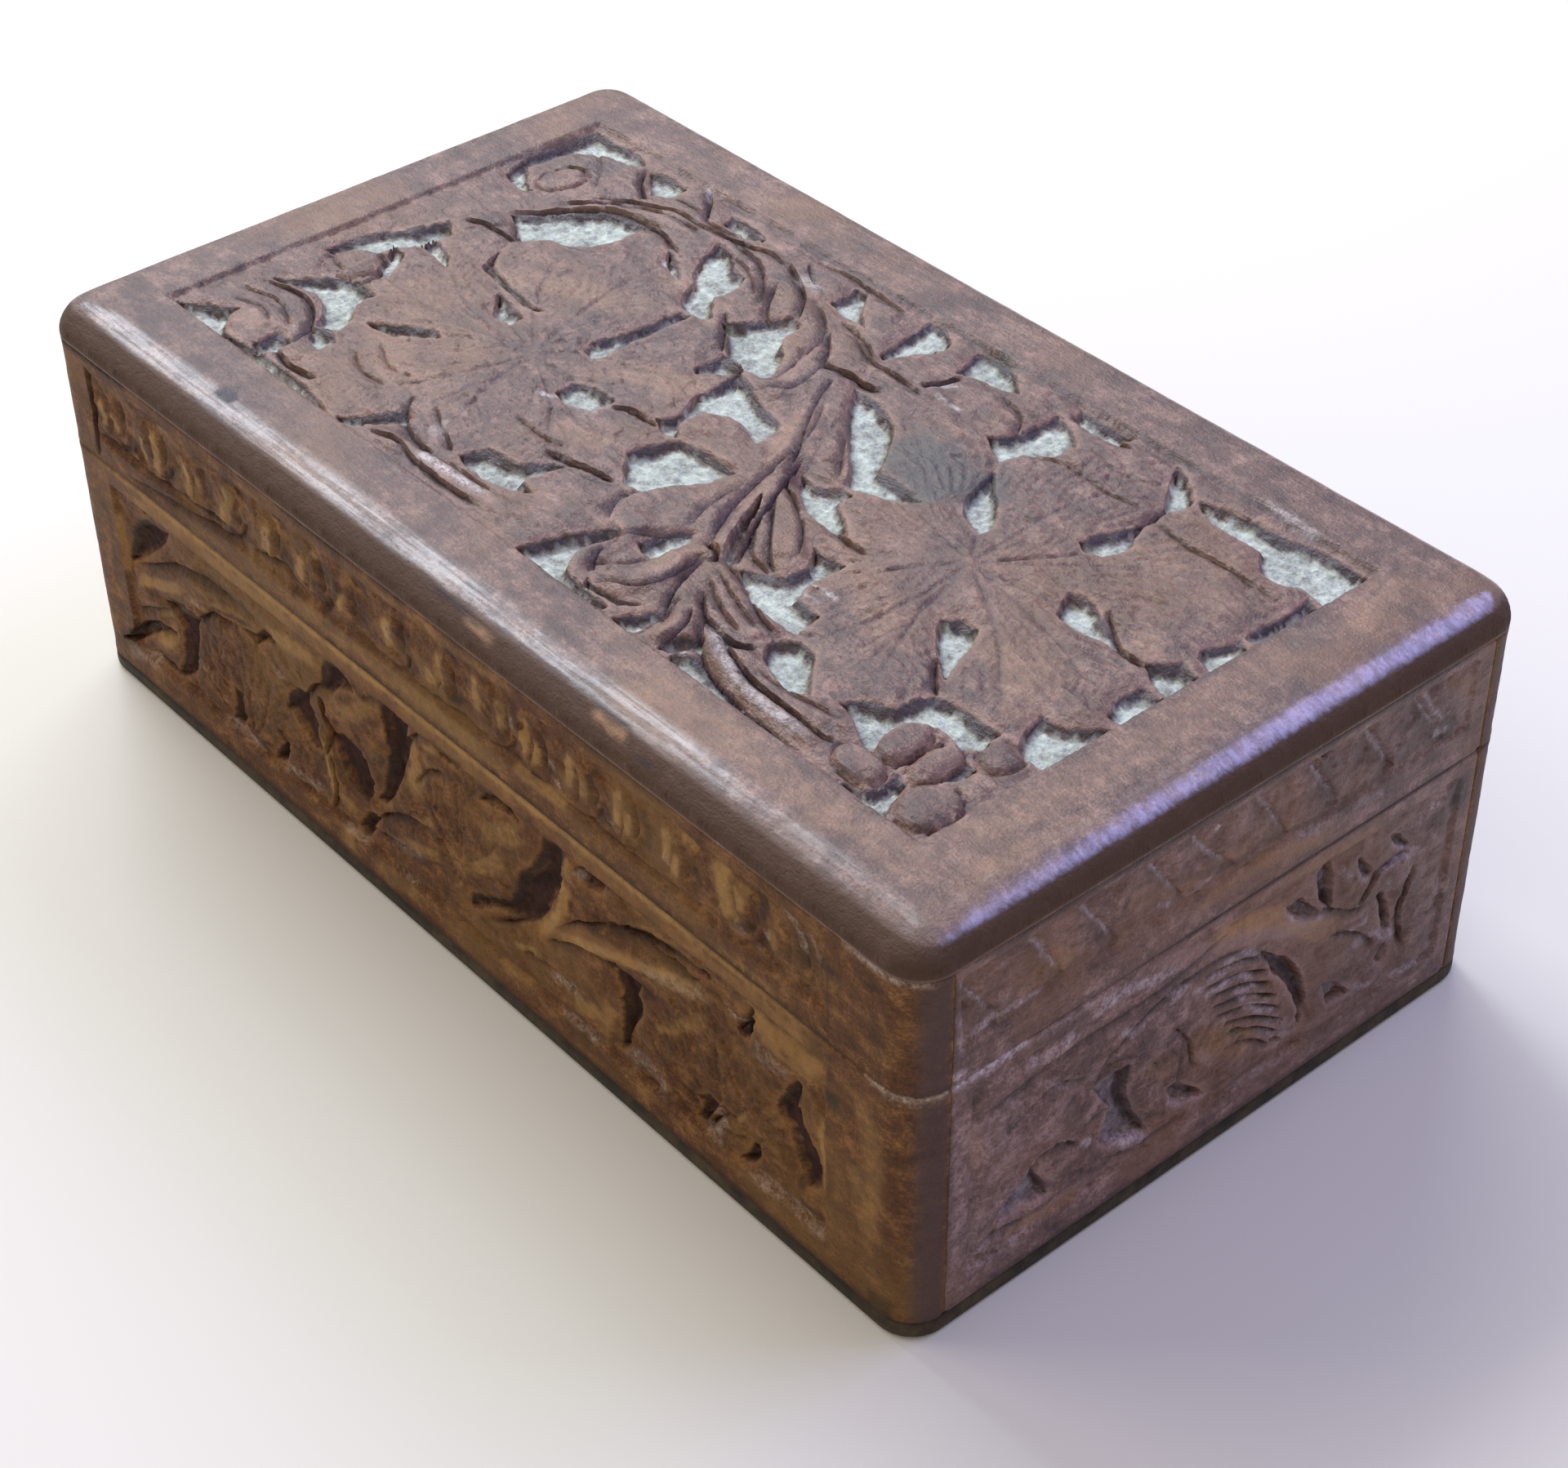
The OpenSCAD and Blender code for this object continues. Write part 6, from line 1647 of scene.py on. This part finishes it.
# One slotted countersunk screw, its head at the origin and its shank pointing down.
def makeScrew(form):
    half, deep = form["slot"] / 2, form["slotDepth"]
    turn = math.asin(half / form["head"])
    steps = form["sides"] // 2
    arcs = [[turn + (math.pi - 2 * turn) * k / steps for k in range(steps + 1)]]
    arcs.append([angle + math.pi for angle in arcs[0]])
    angles = arcs[0] + arcs[1]
    count = len(angles)
    rings = ((form["head"], 0), (form["shank"], -form["sunk"]), (form["shank"], -form["length"]))
    verts = [(r * math.cos(a), r * math.sin(a), z) for r, z in rings for a in angles]
    coneAtSlot = form["head"] - (form["head"] - form["shank"]) * deep / form["sunk"]
    reach = math.sqrt(coneAtSlot**2 - half**2)
    floor = [len(verts) + k for k in range(4)]
    verts += [(reach, half, -deep), (-reach, half, -deep), (-reach, -half, -deep), (reach, -half, -deep)]
    first, second = list(range(steps + 1)), list(range(steps + 1, count))
    faces = [first, second, floor]
    faces += [[floor[1], floor[0], first[0], first[-1]], [floor[3], floor[2], second[0], second[-1]]]
    for k in range(count):
        after = (k + 1) % count
        low, lowAfter = k + count, after + count
        if k in (first[-1], second[-1]):
            here, there = (floor[1], floor[2]) if k == first[-1] else (floor[3], floor[0])
            faces += [[k, here, low], [here, there, lowAfter, low], [there, after, lowAfter]]
        else:
            faces.append([k, low, lowAfter, after])
        faces.append([low, low + count, lowAfter + count, lowAfter])
    faces.append([2 * count + k for k in reversed(range(count))])
    mesh = bpy.data.meshes.new("screwMaster")
    mesh.from_pydata((np.array(verts) * mm).tolist(), [], faces)
    mesh.update()
    return bpy.data.objects.new("screwMaster", mesh)


# Puts a copy of an object at every vertex, each turned about its own axis by chance.
def screwGroup():
    group = bpy.data.node_groups.new("placeScrews", "GeometryNodeTree")
    inputs = {}
    for name, kind in (("Geometry", "Geometry"), ("Screw", "Object"), ("Seed", "Int"), ("Flip", "Float"),
                       ("Material", "Material")):
        socket = group.interface.new_socket(name=name, in_out="INPUT", socket_type="NodeSocket" + kind)
        inputs[name] = socket.identifier
    group.interface.new_socket(name="Geometry", in_out="OUTPUT", socket_type="NodeSocketGeometry")
    node = {key: group.nodes.new(kind) for key, kind in {
        "start": "NodeGroupInput", "info": "GeometryNodeObjectInfo", "chance": "FunctionNodeRandomValue",
        "turn": "ShaderNodeCombineXYZ", "place": "GeometryNodeInstanceOnPoints",
        "real": "GeometryNodeRealizeInstances", "coat": "GeometryNodeSetMaterial",
        "end": "NodeGroupOutput"}.items()}
    node["chance"].data_type = "FLOAT"
    node["chance"].inputs[2].default_value, node["chance"].inputs[3].default_value = 0.0, 3.14159
    for source, output, target, key in (
            ("start", "Geometry", "place", "Points"), ("start", "Screw", "info", "Object"),
            ("start", "Seed", "chance", "Seed"), ("start", "Flip", "turn", "X"),
            ("start", "Material", "coat", "Material"), ("info", "Geometry", "place", "Instance"),
            ("turn", "Vector", "place", "Rotation"), ("place", "Instances", "real", "Geometry"),
            ("real", "Geometry", "coat", "Geometry"), ("coat", "Geometry", "end", "Geometry")):
        group.links.new(node[source].outputs[output], node[target].inputs[key])
    group.links.new(node["chance"].outputs[1], node["turn"].inputs["Z"])
    return group, inputs


def placeScrews(name, body, spots, flip, seed, master, group, inputs):
    mesh = bpy.data.meshes.new(name)
    mesh.from_pydata((np.array(spots) * mm).tolist(), [], [])
    piece = bpy.data.objects.new(name, mesh)
    bpy.context.scene.collection.objects.link(piece)
    change = piece.modifiers.new("screws", "NODES")
    change.node_group = group
    for key, value in (("Screw", master), ("Seed", seed), ("Flip", flip), ("Material", brass)):
        change[inputs[key]] = value
    solid = bpy.data.meshes.new_from_object(piece.evaluated_get(bpy.context.evaluated_depsgraph_get()))
    piece.modifiers.clear()
    piece.data = solid
    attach(piece, body)
    for side in ("left", "right"):
        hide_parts("hinge_" + side + "_" + body + "_screws")
    print("screws", name, len(solid.vertices), "points")


screwMaster = makeScrew(screwSize)
screwNodes, screwInputs = screwGroup()
leafMiddle = (leafInner + outerY) / 2
for body, height, flip in (("base", frontHigh[2], 0.0), ("lid", railLow[2], math.pi)):
    spots = [((low[0] + high[0]) / 2 + turn * screwSize["pitch"] / 2, leafMiddle, height)
             for low, high in leafBoxes[body] for turn in (-1, 1)]
    placeScrews(body + "Screws", body, spots, flip, screwSize["seed"], screwMaster, screwNodes, screwInputs)
bpy.data.objects.remove(screwMaster)


def addCamera(view):
    eye, target = Vector(view["eye"]) * mm, Vector(view["target"]) * mm
    ahead = (target - eye).normalized()
    right = ahead.cross(up).normalized()
    above = right.cross(ahead)
    cr, sr = math.cos(view["roll"]), math.sin(view["roll"])
    axes = Matrix((right * cr + above * sr, above * cr - right * sr, -ahead)).transposed()
    data = bpy.data.cameras.new("photoCamera")
    data.sensor_width = view["sensor"]
    data.lens = view["focal"] / view["width"] * view["sensor"]
    data.clip_start, data.clip_end = 0.01, 20
    camera = bpy.data.objects.new("photoCamera", data)
    camera.matrix_world = Matrix.Translation(eye) @ axes.to_4x4()
    bpy.context.scene.collection.objects.link(camera)
    bpy.context.scene.camera = camera


def addLamp(name, place, target, width, height, watts, colour):
    data = bpy.data.lights.new(name, "AREA")
    data.shape = "RECTANGLE"
    data.size, data.size_y = width, height
    data.energy = watts
    data.color = colour
    lamp = bpy.data.objects.new(name, data)
    lamp.location = place
    lamp.rotation_mode = "QUATERNION"
    lamp.rotation_quaternion = (Vector(target) - Vector(place)).to_track_quat("-Z", "Y")
    bpy.context.scene.collection.objects.link(lamp)


def addFloor():
    shader = Shader("paleFloor")
    surface = shader.add("ShaderNodeBsdfPrincipled", {}, {
        "Base Color": linear(214, 208, 198), "Roughness": 0.75}).out("BSDF")
    mesh = bpy.data.meshes.new("floor")
    reach = 3.0
    corners = [(-reach, -reach, 0), (reach, -reach, 0), (reach, reach, 0), (-reach, reach, 0)]
    mesh.from_pydata(corners, [], [(0, 1, 2, 3)])
    mesh.materials.append(shader.finish(surface))
    floor = bpy.data.objects.new("floor", mesh)
    bpy.context.scene.collection.objects.link(floor)


# Place, target, width and height in metres, then watts and colour.
lamps = {
    "windowLeft": ((-1.02, 0.17, 1.06), (0, 0, 0.05), 0.66, 0.55, 17.0, (0.83, 0.91, 1.0)),
    "windowFront": ((-0.62, -0.5, 0.85), (0, 0, 0.05), 0.5, 0.5, 3.4, (1.0, 0.9, 0.76)),
    "windowCorner": ((-0.55, 0.5, 0.72), (0, 0, 0.05), 0.6, 0.4, 4.0, (0.86, 0.92, 1.0)),
    "windowBack": ((0.3, 0.67, 0.86), (0, 0, 0.05), 0.66, 0.36, 5.6, (0.42, 0.43, 1.0)),
    "roomFill": ((0.5, -0.9, 0.8), (0, 0, 0.03), 1.0, 1.0, 2.8, (1.0, 0.9, 0.76)),
}
addCamera(photoView)
addFloor()
for name, lamp in lamps.items():
    addLamp(name, *lamp)
world = bpy.data.worlds.new("studio")
world.use_nodes = True
world.node_tree.nodes["Background"].inputs["Color"].default_value = (0.9, 0.93, 1.0, 1)
world.node_tree.nodes["Background"].inputs["Strength"].default_value = 0.4
bpy.context.scene.world = world
bpy.context.scene.view_settings.view_transform = "Standard"
print("camera, floor and lamps done")
